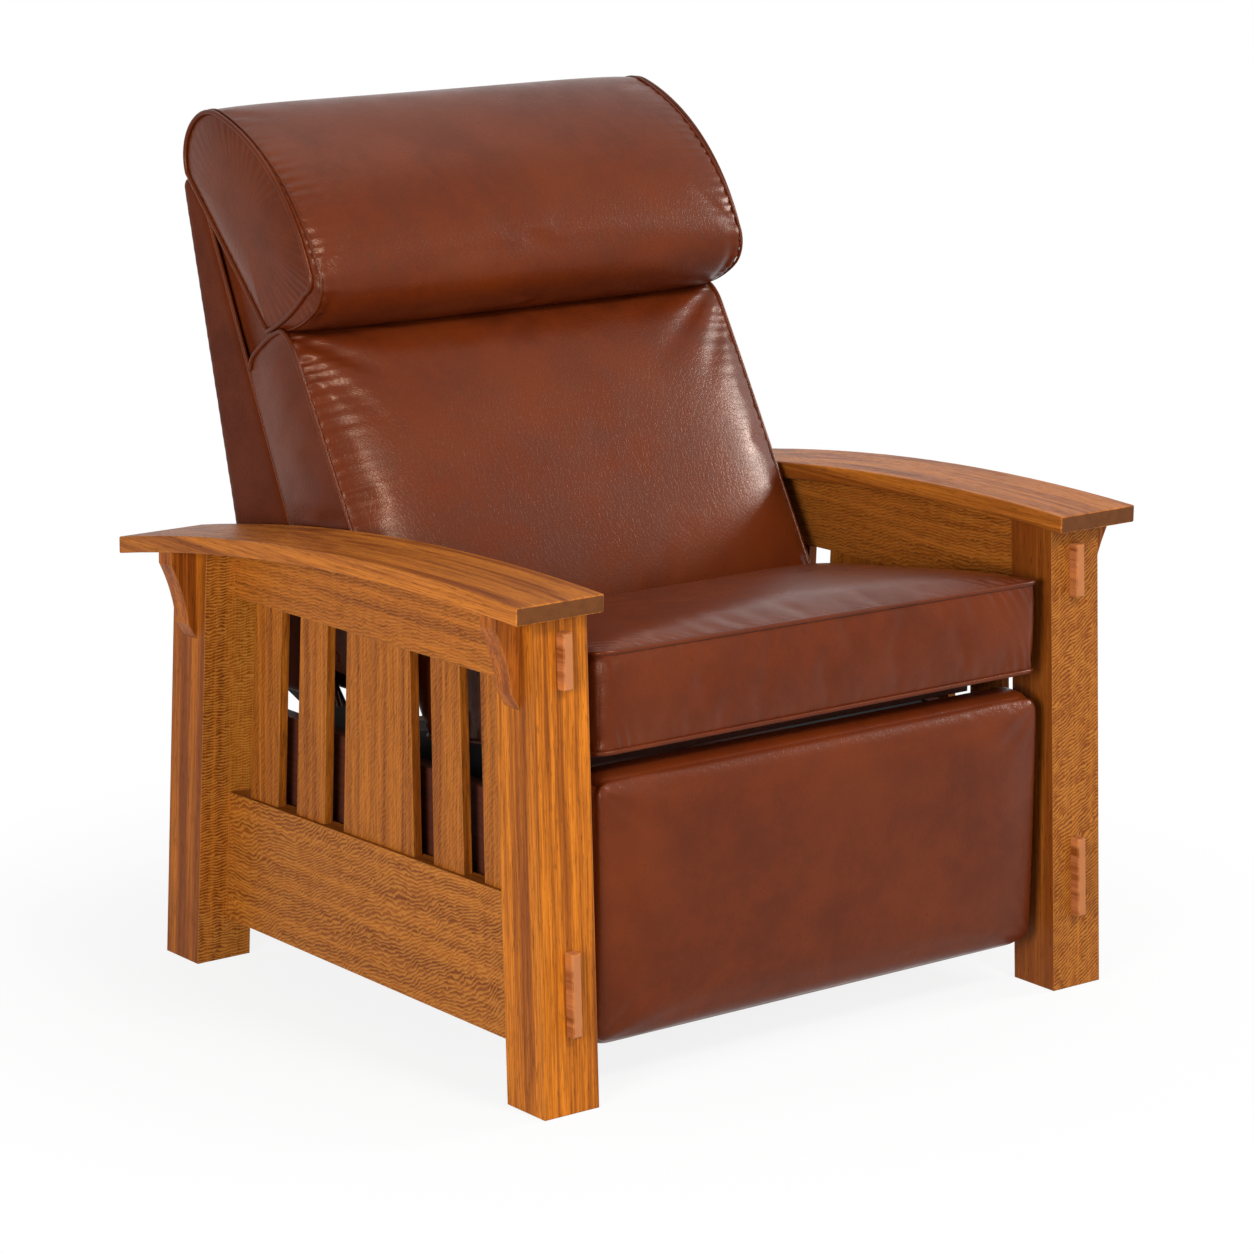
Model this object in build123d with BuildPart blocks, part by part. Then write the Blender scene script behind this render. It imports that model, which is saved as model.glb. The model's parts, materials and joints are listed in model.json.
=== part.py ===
"""Mission reclining armchair: oak side frames, a reclining leather back, a seat and a swing-out footrest.

Millimetres. +X is to the right as the chair is seen from the front, +Y runs to the rear and +Z up.
Outlines are drawn with Y counted from the front posts' feet, and the planes below move them so that
the origin lies on the floor under the middle of the chair.
"""
from build123d import *
import math
import os

os.makedirs("parts", exist_ok=True)

overrun = 20.0               # how far a cut runs past the wood it cuts
half = 1 / 2

# Posts
post_width = 77.0            # across the chair
post_depth = 70.0            # front to rear
width_over_posts = 862.0
post_distance = 711.0        # from front face to front face, at the floor
post_lean_share = 0.0566     # the feet splay to the front and to the rear

# Arms
arm_width = 122.0
arm_thickness = 21.0
arm_overhang = 38.5          # past the outer faces of the posts
arm_front_height = 594.0     # top face at the front end
arm_rear_height = 529.0      # top face at the rear end
arm_bow = 25.0               # rise of the bow over the straight line between the ends
arm_nose = 24.0              # past the front post
arm_tail = 66.0              # past the rear post
arm_edge = 2.0               # radius of the eased edges

# Rails between the posts
rail_thickness = 24.0
rail_recess = 42.0           # from the posts' outer faces to the rails' outer faces
lower_rail_foot = 53.0
lower_rail_front_top = 227.5
lower_rail_rear_top = 217.5
upper_rail_front_drop = 117.0   # from the arm's top down to the rail's foot
upper_rail_rear_drop = 61.5
tenon_thickness = 12.0       # rail tenons and slats alike
tenon_length = 25.0
tenon_shoulder = 17.0

# Slats
slat_gap = 40.5
slat_end_gap = 37.5
slat_top_width = 56.0
slat_foot_width = 59.0
slat_tongue = 12.0

# Tenon ends that stand proud of the front posts
proud_width = 13.0
proud_stand = 13.5
proud_depth = 24.0           # into the post
proud_inset = 40.5           # from the post's outer face to the middle of the tenon
upper_proud_lift = 11.5      # above the foot of the upper rail
upper_proud_height = 65.0
lower_proud_lift = 38.5      # above the foot of the lower rail
lower_proud_height = 97.0
proud_chamfer = 1.5

# Corbels under the arms
corbel_height = 110.0
corbel_reach = 35.0
corbel_lip = 15.0
corbel_toe = 11.5
corbel_toe_rise = 19.0
corbel_hollow = 3.5
corbel_thickness = 28.0

# Dowels between posts and arms
dowel_radius = 5.0
dowel_spacing = 36.0
dowel_in_post = 26.0
dowel_in_arm = 13.0

# Base that carries the mechanism
base_thickness = 20.0
base_foot = 150.0
base_top = 325.0
base_front = 77.0
base_rear_inset = 21.0       # ahead of the rear posts' feet
strip_margin = 5.0
strip_height = 58.0
strip_front = 97.0
strip_rear_inset = 27.0
front_stretcher_front = 180.0
front_stretcher_thickness = 20.0
front_stretcher_height = 60.0
rear_stretcher_inset = 12.0
rear_stretcher_thickness = 22.0
rear_stretcher_foot = 115.0
rear_stretcher_height = 80.0
screw_radius = 2.5
screw_head_radius = 5.0
screw_head_thickness = 2.0
screw_bite = 9.0
base_screw_count = 4

# Channel tracks, runners and shoes that let the seat glide
track_foot = 236.0
track_height = 30.0
track_depth = 12.0
track_wall = 2.0
track_front = 163.0
track_length = 295.0
steel = 4.0                  # thickness of the flat steel
running_gap = 0.3
shoe_length = 60.0
shoe_margin = 50.0           # from the track's ends to the shoes, with the back upright
runner_lead = 10.0           # ahead of the front shoe

# Seat frame
seat_slope_share = 0.15
seat_gap = 17.0              # from the seat cushion to the posts' inner faces
seat_front = 30.0
seat_front_foot = 404.0
seat_thickness = 111.0
seat_crown = 15.0
seat_front_swell = 6.0
seat_set_forward = 18.0      # from the lumbar cushion's welts, to clear its swelling
seat_frame_front = 120.0
seat_frame_rear = 505.0
seat_frame_gap = 28.0        # from the seat frame to the base boards
seat_rail_width = 44.0
seat_rail_depth = 28.0
spring_wire_radius = 2.0
spring_run = 46.0            # straight part of one run across
spring_turn_radius = 10.0    # about, the pitch is evened out
spring_bend = 7.0            # radius of the bend into each end
spring_lead = 12.0           # from the rails to the first and last runs
spring_hole = 9.0            # depth of the holes that hold the ends
spring_count = 5
spring_margin = 52.0         # from the side rails to the outer springs' middles
spring_drop = 5.0            # from the top of the rails to the wire's middle

# Back pivot
back_pivot_y = 540.0
back_pivot_z = 310.0
back_pin_radius = 6.0
back_pin_fit = 0.05
back_eye = 20.0
bracket_height = 150.0       # from the stile's foot up

# Back shell
back_gap = 23.0              # from the back to the posts' inner faces
shell_wall = 8.0
shell_foot = 347.0
shell_top = 943.0
shell_rear_lean_share = 0.2695
shell_foot_rear = 722.53     # the rear face at the shell's foot
shell_foot_depth = 175.69    # from the rear face to the sides' front edges
shell_top_depth = 42.48
shell_top_ledge = 21.15      # from the rear face to the head roll, over the top
shell_top_round = 13.0
shell_foot_round = 40.0

# Back frame
stile_thickness = 24.0
stile_depth = 60.0
stile_foot_rise = 8.0        # above the shell's foot
stile_top_drop = 53.0        # below the shell's top
stile_inset = 19.0           # from the shell's side to the stile
back_rail_thickness = 22.0
back_rail_height = 60.0
inner_back_foot_rise = 15.0  # above the shell's foot
inner_back_shoulder = 6.0    # above the lumbar cushion's rear edge
inner_back_tip = 12.0        # above the head roll's tip

# Lumbar cushion
lumbar_lean_share = 0.589
lumbar_front_at_seat = 455.0
lumbar_seat_height = 461.0
lumbar_foot = 392.0
lumbar_top = 794.0
lumbar_drop = 59.0           # from its front top edge down to where it meets the shell
lumbar_shoulder = 12.0       # rise of the rounded top over the straight line
lumbar_crown = 28.0

# Head roll
roll_tip_drop = 6.0          # from the lumbar cushion's top edge
roll_depth = 273.0
roll_height = 252.5
roll_crown = 7.5
roll_nose_swell = 12.0
roll_sag = 36.0              # how far the roll's chin hangs below its end seams
# Places on the roll's end, as shares of its depth and height counted from its nose and its tip
roll_tip_share = 0.344
roll_heel_rise_share = 0.685
roll_nape_share = (0.965, 0.885)
roll_summit_share = (0.733, 1.0)
roll_brow_share = (0.328, 0.782)
roll_nose_share = (0.012, 0.333)
roll_nose_mid_share = (0.0, 0.276)
roll_chin_share = (0.044, 0.225)

# Footrest
footrest_gap = 9.0           # from the footrest to the posts' inner faces
footrest_foot = 55.0
footrest_top = 377.0
footrest_front = 27.0
footrest_thickness = 45.0
footrest_round = 18.0
footrest_crown = 8.0
footrest_board_thickness = 12.0
footrest_board_margin = 16.0

# Footrest linkage
link_pivot_y = 142.0
link_pivot_z = 320.0
link_length = 150.0
link_start_angle = 8.0       # from hanging straight down, with the footrest closed
link_eye = 12.0
link_gap = 1.0
guide_eye = 9.0
guide_offset_y = 22.0
guide_offset_z = -10.0
link_pin_radius = 5.0
guide_pin_radius = 4.0
pin_fit = 0.05
guide_pin_gap = 0.5          # the guide link's free pivot is loose
tube_radius = 9.0
tube_bore = 6.5
pivot_plate_reach = 26.0
bracket_flange = 30.0
bracket_flange_thickness = 3.0
bracket_half_height = 45.0
bracket_drop = 18.0
foot_screw_radius = 2.0
foot_screw_head = 4.5

# How the cushions swell between their seams
swell_steps = 6              # sections from the middle to either seam
swell_power = 4
swell_at_seam_share = 0.1

# Sizes worked out from those above
post_outer = width_over_posts * half
post_inner = post_outer - post_width
post_middle = (post_outer + post_inner) * half
arm_outer = post_outer + arm_overhang
arm_inner = arm_outer - arm_width
rail_outer = post_outer - rail_recess
rail_inner = rail_outer - rail_thickness
tenon_inner = (rail_outer + rail_inner - tenon_thickness) * half
upper_rail_front_foot = arm_front_height - upper_rail_front_drop
upper_rail_rear_foot = arm_rear_height - upper_rail_rear_drop
upper_proud_foot = upper_rail_front_foot + upper_proud_lift
lower_proud_foot = lower_rail_foot + lower_proud_lift
slat_low = (lower_rail_front_top + lower_rail_rear_top) * half
slat_high = (upper_rail_front_foot + upper_rail_rear_foot) * half
base_inner = post_inner - base_thickness
base_rear = post_distance - base_rear_inset
strip_rear = post_distance - strip_rear_inset
strip_foot = base_foot + strip_margin
pivot_inner = base_inner - steel
swing_inner = pivot_inner - link_gap - steel
reach_inner = swing_inner - link_gap - steel
guide_inner = reach_inner - link_gap - steel
foot_bracket_inner = guide_inner - link_gap - steel
footrest_half_width = post_inner - footrest_gap
seat_half_width = post_inner - seat_gap
shell_half_width = post_inner - back_gap
seat_frame_half_width = base_inner - seat_frame_gap
runner_inner = seat_frame_half_width
back_bracket_inner = shell_half_width - stile_inset
stile_inner = back_bracket_inner - stile_thickness
shell_slant = math.hypot(1, shell_rear_lean_share)
stile_foot = shell_foot + stile_foot_rise
stile_top = shell_top - stile_top_drop
inner_back_foot = shell_foot + inner_back_foot_rise
roll_tip_z = lumbar_top - roll_tip_drop


def front_face(z):
    """Front face of the front posts at height z."""
    return post_lean_share * z


def front_back(z):
    """Rear face of the front posts."""
    return front_face(z) + post_depth


def rear_front(z):
    """Front face of the rear posts."""
    return post_distance - post_lean_share * z


def rear_back(z):
    """Rear face of the rear posts."""
    return rear_front(z) + post_depth


def shell_rear(z):
    """Rear face of the back shell."""
    return shell_foot_rear + shell_rear_lean_share * (z - shell_foot)


def shell_front(z):
    """Front edge of the back shell's sides."""
    share = (z - shell_foot) / (shell_top - shell_foot)
    return shell_rear(z) - shell_foot_depth - share * (shell_top_depth - shell_foot_depth)


def stile_back(z):
    """Rear face of the back frame's stiles, against the shell."""
    return shell_rear(z) - shell_wall * shell_slant


def stile_front(z):
    """Front face of the back frame's stiles."""
    return stile_back(z) - stile_depth * shell_slant


def lumbar_front(z):
    """Front of the lumbar cushion at its welts."""
    return lumbar_front_at_seat + lumbar_lean_share * (z - lumbar_seat_height)


def seat_foot(y):
    """Underside of the seat cushion, which slopes down to the rear."""
    return seat_front_foot - seat_slope_share * (y - seat_front)


def between(y, front_value, rear_value):
    """A height that changes evenly from the front posts to the rear posts."""
    share = (y - post_depth) / (post_distance - post_depth)
    return front_value + share * (rear_value - front_value)


def lower_rail_top(y):
    return between(y, lower_rail_front_top, lower_rail_rear_top)


def upper_rail_foot(y):
    return between(y, upper_rail_front_foot, upper_rail_rear_foot)


arm_front = front_face(arm_front_height - arm_thickness) - arm_nose
arm_rear = rear_back(arm_rear_height - arm_thickness) + arm_tail


def arm_under(y):
    """Height of the arm's underside, close to its bow."""
    share = (y - arm_front) / (arm_rear - arm_front)
    chord = arm_front_height + share * (arm_rear_height - arm_front_height)
    return chord - arm_thickness + arm_bow * share * (1 - share) / half**2


# The chair reaches from the lower proud tenons to the top of the shell
front_reach = front_face(lower_proud_foot) - proud_stand
middle_y = (front_reach + shell_rear(shell_top)) * half


def side_at(x):
    """A plane square to X, drawn in (distance from the front feet, height)."""
    return Plane(origin=(x, -middle_y, 0), x_dir=(0, 1, 0), z_dir=(1, 0, 0))


def front_at(y):
    """A plane square to Y, drawn in (X, height), whose front looks forward."""
    return Plane(origin=(0, y - middle_y, 0), x_dir=(1, 0, 0), z_dir=(0, -1, 0))


def slab(points, inner, thickness, mode=Mode.ADD):
    """A flat piece drawn from the side, from x = inner outward."""
    with BuildSketch(side_at(inner)) as outline:
        Polygon(*points)
    extrude(outline.sketch, amount=thickness, mode=mode)


def across(points, half_width, mode=Mode.ADD):
    """A piece drawn from the side that spans the chair."""
    slab(points, -half_width, half_width / half, mode)


def beam(points, front, length, mode=Mode.ADD):
    """A piece drawn from the front, from y = front to the rear."""
    with BuildSketch(front_at(front)) as outline:
        Polygon(*points)
    extrude(outline.sketch, amount=-length, mode=mode)


def disc(y, z, inner, thickness, radius, mode=Mode.ADD):
    """A round pin, eye or hole whose axis runs across the chair."""
    with BuildSketch(side_at(inner)) as outline:
        with Locations((y, z)):
            Circle(radius)
    extrude(outline.sketch, amount=thickness, mode=mode)


def bar(start, end, inner, thickness, radius, mode=Mode.ADD):
    """A flat link with round ends between two pivots."""
    run = (end[0] - start[0], end[1] - start[1])
    with BuildSketch(side_at(inner)) as outline:
        with Locations(((start[0] + end[0]) * half, (start[1] + end[1]) * half)):
            SlotCenterToCenter(math.hypot(*run), radius / half, rotation=math.degrees(math.atan2(run[1], run[0])))
    extrude(outline.sketch, amount=thickness, mode=mode)


def arm_curve(drop):
    """Front end, middle and rear end of the arm's bow, lowered by drop."""
    front = (arm_front, arm_front_height - drop)
    rear = (arm_rear, arm_rear_height - drop)
    middle = ((front[0] + rear[0]) * half, (front[1] + rear[1]) * half + arm_bow)
    return front, middle, rear


def under_arm(inner, thickness):
    """Keeps only what lies under the arm."""
    front, middle, rear = arm_curve(arm_thickness)
    with BuildSketch(side_at(inner)) as region:
        with BuildLine():
            ThreePointArc(front, middle, rear)
            Polyline(rear, (rear[0] + overrun, rear[1]), (rear[0] + overrun, 0))
            Polyline((rear[0] + overrun, 0), (front[0] - overrun, 0), (front[0] - overrun, front[1]), front)
        make_face()
    extrude(region.sketch, amount=thickness, mode=Mode.INTERSECT)


def save(piece, label):
    piece.part.label = label
    export_step(piece.part, f"parts/{label}.step")


def save_pair(piece, name):
    """The right-hand piece and its mirror image on the left."""
    save(piece, f"{name}_right")
    with BuildPart() as left:
        mirror(piece.part, about=Plane.YZ)
    save(left, f"{name}_left")


# Slats: five boards a side, which fan with the posts
def slat_places(z, narrow):
    """Front and rear edges of the five slats at height z."""
    front = front_back(z) + slat_end_gap
    rear = rear_front(z) - slat_end_gap
    wide = rear - front - (narrow + slat_gap) / half * 2
    places = []
    edge = front
    for width in (narrow, narrow, wide, narrow, narrow):
        places.append((edge, edge + width))
        edge += width + slat_gap
    return places


slat_feet = slat_places(slat_low, slat_foot_width)
slat_heads = slat_places(slat_high, slat_top_width)


def slat_outline(index):
    """One slat, with a tongue at each end that goes into the rails."""
    corners = []
    for foot, head in zip(slat_feet[index], slat_heads[index]):
        ends = (lower_rail_top(foot) - slat_tongue, upper_rail_foot(head) + slat_tongue)
        slope = (head - foot) / (slat_high - slat_low)
        corners.append([(foot + slope * (z - slat_low), z) for z in ends])
    (front_foot, front_head), (rear_foot, rear_head) = corners
    return [front_foot, rear_foot, rear_head, front_head]


def slats(indices, mode=Mode.ADD):
    for index in indices:
        slab(slat_outline(index), tenon_inner, tenon_thickness, mode)


all_slats = range(len(slat_feet))


def span(foot_front, foot_rear, top_front, top_rear, grow):
    """A rail's outline between the posts, grown at both ends by grow."""
    return [
        (front_back(foot_front) - grow, foot_front),
        (rear_front(foot_rear) + grow, foot_rear),
        (rear_front(top_rear) + grow, top_rear),
        (front_back(top_front) - grow, top_front),
    ]


upper_rail_front_top = arm_under(front_back(arm_front_height)) + overrun
upper_rail_rear_top = arm_under(rear_front(arm_rear_height)) + overrun
lower_rail_outline = span(
    lower_rail_foot, lower_rail_foot, lower_rail_front_top, lower_rail_rear_top, 0
)
upper_rail_outline = [
    (front_back(upper_rail_front_foot), upper_rail_front_foot),
    (rear_front(upper_rail_rear_foot), upper_rail_rear_foot),
    (rear_front(upper_rail_rear_top), upper_rail_rear_top),
    ((arm_front + arm_rear) * half, arm_under((arm_front + arm_rear) * half) + overrun),
    (front_back(upper_rail_front_top), upper_rail_front_top),
]
lower_tenon_outline = span(
    lower_rail_foot + tenon_shoulder,
    lower_rail_foot + tenon_shoulder,
    lower_rail_front_top - tenon_shoulder,
    lower_rail_rear_top - tenon_shoulder,
    tenon_length,
)
upper_tenon_outline = span(
    upper_rail_front_foot + tenon_shoulder,
    upper_rail_rear_foot + tenon_shoulder,
    upper_rail_front_top - overrun - tenon_shoulder,
    upper_rail_rear_top - overrun - tenon_shoulder,
    tenon_length,
)


def rail_tenons(mode):
    for outline in (lower_tenon_outline, upper_tenon_outline):
        slab(outline, tenon_inner, tenon_thickness, mode)


def proud_tenon(foot, height, mode=Mode.ADD):
    """A tenon end that leans with the post and stands proud of its front face."""
    outline = [
        (front_face(foot) - proud_stand, foot),
        (front_face(foot) + proud_depth, foot),
        (front_face(foot + height) + proud_depth, foot + height),
        (front_face(foot + height) - proud_stand, foot + height),
    ]
    slab(outline, post_outer - proud_inset - proud_width * half, proud_width, mode)


def dowels(mode=Mode.ADD):
    """Two dowels from each post into its arm, on the right-hand side."""
    front = front_face(arm_front_height) + post_depth * half
    rear = rear_back(arm_rear_height) - post_depth * half
    for y in (front, rear):
        foot = arm_under(y) - dowel_in_post
        places = [
            (post_middle + side * dowel_spacing * half, y - middle_y, foot) for side in (-1, 1)
        ]
        with Locations(*places):
            Cylinder(
                dowel_radius,
                dowel_in_post + dowel_in_arm,
                align=(Align.CENTER, Align.CENTER, Align.MIN),
                mode=mode,
            )


def base_screw_places():
    """Where the screws go through the base board and the strip into the lower rail."""
    step = (strip_rear - strip_front) / base_screw_count
    return [strip_front + step * (index + half) for index in range(base_screw_count)]


def base_screws(mode=Mode.ADD):
    for y in base_screw_places():
        disc(y, strip_foot + strip_height * half, base_inner, rail_inner + screw_bite - base_inner, screw_radius, mode)


# Front posts
with BuildPart() as front_post:
    slab(
        [
            (front_face(0), 0),
            (front_back(0), 0),
            (front_back(arm_front_height), arm_front_height),
            (front_face(arm_front_height), arm_front_height),
        ],
        post_inner,
        post_width,
    )
    under_arm(post_inner, post_width)
    rail_tenons(Mode.SUBTRACT)
    proud_tenon(upper_proud_foot, upper_proud_height, Mode.SUBTRACT)
    proud_tenon(lower_proud_foot, lower_proud_height, Mode.SUBTRACT)
    dowels(Mode.SUBTRACT)
save_pair(front_post, "front_post")

# Rear posts
with BuildPart() as rear_post:
    slab(
        [
            (rear_front(0), 0),
            (rear_back(0), 0),
            (rear_back(arm_front_height), arm_front_height),
            (rear_front(arm_front_height), arm_front_height),
        ],
        post_inner,
        post_width,
    )
    under_arm(post_inner, post_width)
    rail_tenons(Mode.SUBTRACT)
    dowels(Mode.SUBTRACT)
save_pair(rear_post, "rear_post")

# Arms
with BuildPart() as arm:
    with BuildSketch(side_at(arm_inner)):
        with BuildLine():
            ThreePointArc(*arm_curve(0))
            Line(arm_curve(0)[2], arm_curve(arm_thickness)[2])
            ThreePointArc(*arm_curve(arm_thickness))
            Line(arm_curve(arm_thickness)[0], arm_curve(0)[0])
        make_face()
    extrude(amount=arm_width)
    fillet(arm.edges(), radius=arm_edge)
    dowels(Mode.SUBTRACT)
save_pair(arm, "arm")

# Lower rails, with tenons into the posts and grooves for the slats
with BuildPart() as lower_rail:
    slab(lower_rail_outline, rail_inner, rail_thickness)
    slab(lower_tenon_outline, tenon_inner, tenon_thickness)
    slats(all_slats, Mode.SUBTRACT)
    base_screws(Mode.SUBTRACT)
save_pair(lower_rail, "lower_rail")

# Upper rails, whose tops follow the arms
with BuildPart() as upper_rail:
    slab(upper_rail_outline, rail_inner, rail_thickness)
    under_arm(rail_inner, rail_thickness)
    slab(upper_tenon_outline, tenon_inner, tenon_thickness)
    slats(all_slats, Mode.SUBTRACT)
save_pair(upper_rail, "upper_rail")

with BuildPart() as side_slats:
    slats(all_slats)
save_pair(side_slats, "side_slats")

# Tenon ends, an upper and a lower one on each front post
with BuildPart() as tenon_ends:
    proud_tenon(upper_proud_foot, upper_proud_height)
    chamfer(tenon_ends.faces().sort_by(Axis.Y)[0].edges(), length=proud_chamfer)
    proud_tenon(lower_proud_foot, lower_proud_height)
    chamfer(tenon_ends.faces().sort_by(Axis.Y)[0].edges(), length=proud_chamfer)
    mirror(about=Plane.YZ)
save(tenon_ends, "tenon_ends")

with BuildPart() as arm_dowels:
    dowels()
    mirror(about=Plane.YZ)
save(arm_dowels, "arm_dowels")


def corbel_shape(y):
    """A corbel on a post's outer face, hollowed between its lip and its toe."""
    top = arm_under(y)
    lip = (post_outer + corbel_reach, top - corbel_lip)
    toe = (post_outer + corbel_toe, top - corbel_height + corbel_toe_rise)
    slant = math.hypot(lip[0] - toe[0], lip[1] - toe[1])
    hollow = (
        (lip[0] + toe[0]) * half - corbel_hollow * (lip[1] - toe[1]) / slant,
        (lip[1] + toe[1]) * half + corbel_hollow * (lip[0] - toe[0]) / slant,
    )
    with BuildSketch(front_at(y - corbel_thickness * half)) as outline:
        with BuildLine():
            Polyline(toe, (post_outer, top - corbel_height), (post_outer, top + overrun))
            Polyline((post_outer, top + overrun), (lip[0], top + overrun), lip)
            ThreePointArc(lip, hollow, toe)
        make_face()
    extrude(outline.sketch, amount=-corbel_thickness)
    under_arm(post_outer, corbel_reach)


corbel_drop = corbel_height * half
with BuildPart() as front_corbel:
    corbel_shape(front_face(arm_front_height - corbel_drop) + post_depth * half)
save_pair(front_corbel, "front_corbel")

with BuildPart() as rear_corbel:
    corbel_shape(rear_front(arm_rear_height - corbel_drop) + post_depth * half)
save_pair(rear_corbel, "rear_corbel")

# Mechanism base: side boards, strips, stretchers and screws
with BuildPart() as base_board:
    slab(
        [(base_front, base_foot), (base_rear, base_foot), (base_rear, base_top), (base_front, base_top)],
        base_inner,
        base_thickness,
    )
    base_screws(Mode.SUBTRACT)
save_pair(base_board, "base_board")

with BuildPart() as base_strip:
    strip_top = strip_foot + strip_height
    slab(
        [(strip_front, strip_foot), (strip_rear, strip_foot), (strip_rear, strip_top), (strip_front, strip_top)],
        post_inner,
        rail_inner - post_inner,
    )
    base_screws(Mode.SUBTRACT)
save_pair(base_strip, "base_strip")

with BuildPart() as base_screw_set:
    base_screws()
    for y in base_screw_places():
        disc(
            y,
            strip_foot + strip_height * half,
            base_inner - screw_head_thickness,
            screw_head_thickness,
            screw_head_radius,
        )
    mirror(about=Plane.YZ)
save(base_screw_set, "base_screws")

with BuildPart() as front_stretcher:
    front_stretcher_rear = front_stretcher_front + front_stretcher_thickness
    front_stretcher_top = strip_foot + front_stretcher_height
    across(
        [
            (front_stretcher_front, strip_foot),
            (front_stretcher_rear, strip_foot),
            (front_stretcher_rear, front_stretcher_top),
            (front_stretcher_front, front_stretcher_top),
        ],
        base_inner,
    )
save(front_stretcher, "front_stretcher")

with BuildPart() as rear_stretcher:
    rear_stretcher_top = rear_stretcher_foot + rear_stretcher_height
    rear_stretcher_front = rear_front(rear_stretcher_foot) + rear_stretcher_inset
    rear_stretcher_rear = rear_stretcher_front + rear_stretcher_thickness
    across(
        [
            (rear_stretcher_front, rear_stretcher_foot),
            (rear_stretcher_rear, rear_stretcher_foot),
            (rear_stretcher_rear, rear_stretcher_top),
            (rear_stretcher_front, rear_stretcher_top),
        ],
        post_inner,
    )
save(rear_stretcher, "rear_stretcher")

# Channel tracks on the inner faces of the base boards, open towards the middle
with BuildPart() as glide_track:
    track_inner = base_inner - track_depth
    track_top = track_foot + track_height
    beam(
        [(track_inner, track_foot), (base_inner, track_foot), (base_inner, track_top), (track_inner, track_top)],
        track_front,
        track_length,
    )
    beam(
        [
            (track_inner, track_foot + track_wall),
            (base_inner - track_wall, track_foot + track_wall),
            (base_inner - track_wall, track_top - track_wall),
            (track_inner, track_top - track_wall),
        ],
        track_front,
        track_length,
        Mode.SUBTRACT,
    )
save_pair(glide_track, "glide_track")

# Pivot plates that carry the footrest linkage, with their pins
pivot = (link_pivot_y, link_pivot_z)
with BuildPart() as pivot_plates:
    slab(
        [
            (pivot[0] - pivot_plate_reach, pivot[1] - pivot_plate_reach / half),
            (pivot[0] + pivot_plate_reach, pivot[1] - pivot_plate_reach / half),
            (pivot[0] + pivot_plate_reach, pivot[1]),
            (pivot[0] + link_eye, pivot[1] + link_eye),
            (pivot[0] - link_eye, pivot[1] + link_eye),
            (pivot[0] - pivot_plate_reach, pivot[1]),
        ],
        pivot_inner,
        steel,
    )
    disc(*pivot, pivot_inner, steel, link_pin_radius, Mode.SUBTRACT)
    mirror(about=Plane.YZ)
save(pivot_plates, "pivot_plates")

with BuildPart() as pivot_pins:
    disc(*pivot, swing_inner, base_inner - swing_inner, link_pin_radius)
    mirror(about=Plane.YZ)
save(pivot_pins, "pivot_pins")


# Footrest linkage, drawn with the footrest closed
def hung(origin, length, angle):
    """The point at this length from origin, at an angle from hanging straight down, forward positive."""
    turn = math.radians(angle)
    return (origin[0] - length * math.sin(turn), origin[1] - length * math.cos(turn))


def turned(offset, angle):
    """An offset drawn for a link that hangs straight down, swung forward by an angle."""
    turn = math.radians(angle)
    return (
        offset[0] * math.cos(turn) + offset[1] * math.sin(turn),
        offset[1] * math.cos(turn) - offset[0] * math.sin(turn),
    )


guide_offset = turned((guide_offset_y, guide_offset_z), link_start_angle)
elbow = hung(pivot, link_length, link_start_angle)
wrist = (elbow[0] - link_length * math.sin(math.radians(link_start_angle)), link_pivot_z)
guide_elbow = (elbow[0] + guide_offset[0], elbow[1] + guide_offset[1])
guide_wrist = (wrist[0] + guide_offset[0], wrist[1] + guide_offset[1])

with BuildPart() as swing_links:
    bar(pivot, elbow, swing_inner, steel, link_eye)
    bar(elbow, guide_elbow, swing_inner, steel, guide_eye)
    disc(*pivot, swing_inner, steel, link_pin_radius + pin_fit, Mode.SUBTRACT)
    disc(*elbow, swing_inner, steel, link_pin_radius, Mode.SUBTRACT)
    disc(*guide_elbow, swing_inner, steel, guide_pin_radius, Mode.SUBTRACT)
    mirror(about=Plane.YZ)
save(swing_links, "swing_links")

with BuildPart() as torque_tube:
    disc(*pivot, -swing_inner, swing_inner / half, tube_radius)
    disc(*pivot, -swing_inner, swing_inner / half, tube_bore, Mode.SUBTRACT)
save(torque_tube, "torque_tube")

with BuildPart() as elbow_pins:
    disc(*elbow, reach_inner, swing_inner + steel - reach_inner, link_pin_radius)
    disc(*guide_elbow, guide_inner, swing_inner + steel - guide_inner, guide_pin_radius)
    mirror(about=Plane.YZ)
save(elbow_pins, "elbow_pins")

with BuildPart() as reach_links:
    bar(elbow, wrist, reach_inner, steel, link_eye)
    disc(*elbow, reach_inner, steel, link_pin_radius + pin_fit, Mode.SUBTRACT)
    disc(*wrist, reach_inner, steel, link_pin_radius + pin_fit, Mode.SUBTRACT)
    mirror(about=Plane.YZ)
save(reach_links, "reach_links")

with BuildPart() as guide_links:
    bar(guide_elbow, guide_wrist, guide_inner, steel, guide_eye)
    disc(*guide_elbow, guide_inner, steel, guide_pin_radius + pin_fit, Mode.SUBTRACT)
    disc(*guide_wrist, guide_inner, steel, guide_pin_radius + guide_pin_gap, Mode.SUBTRACT)
    mirror(about=Plane.YZ)
save(guide_links, "guide_links")

# Footrest brackets: a flange against the footrest board and a web with both eyes
footrest_rear = footrest_front + footrest_thickness
flange_rear = footrest_rear + bracket_flange_thickness
flange_foot = wrist[1] - bracket_drop - bracket_half_height
flange_top = wrist[1] - bracket_drop + bracket_half_height
foot_screw_places = (
    wrist[1] - bracket_drop - bracket_half_height * half,
    wrist[1] - bracket_drop + bracket_half_height * half,
)
foot_screw_x = foot_bracket_inner - bracket_flange * half


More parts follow.
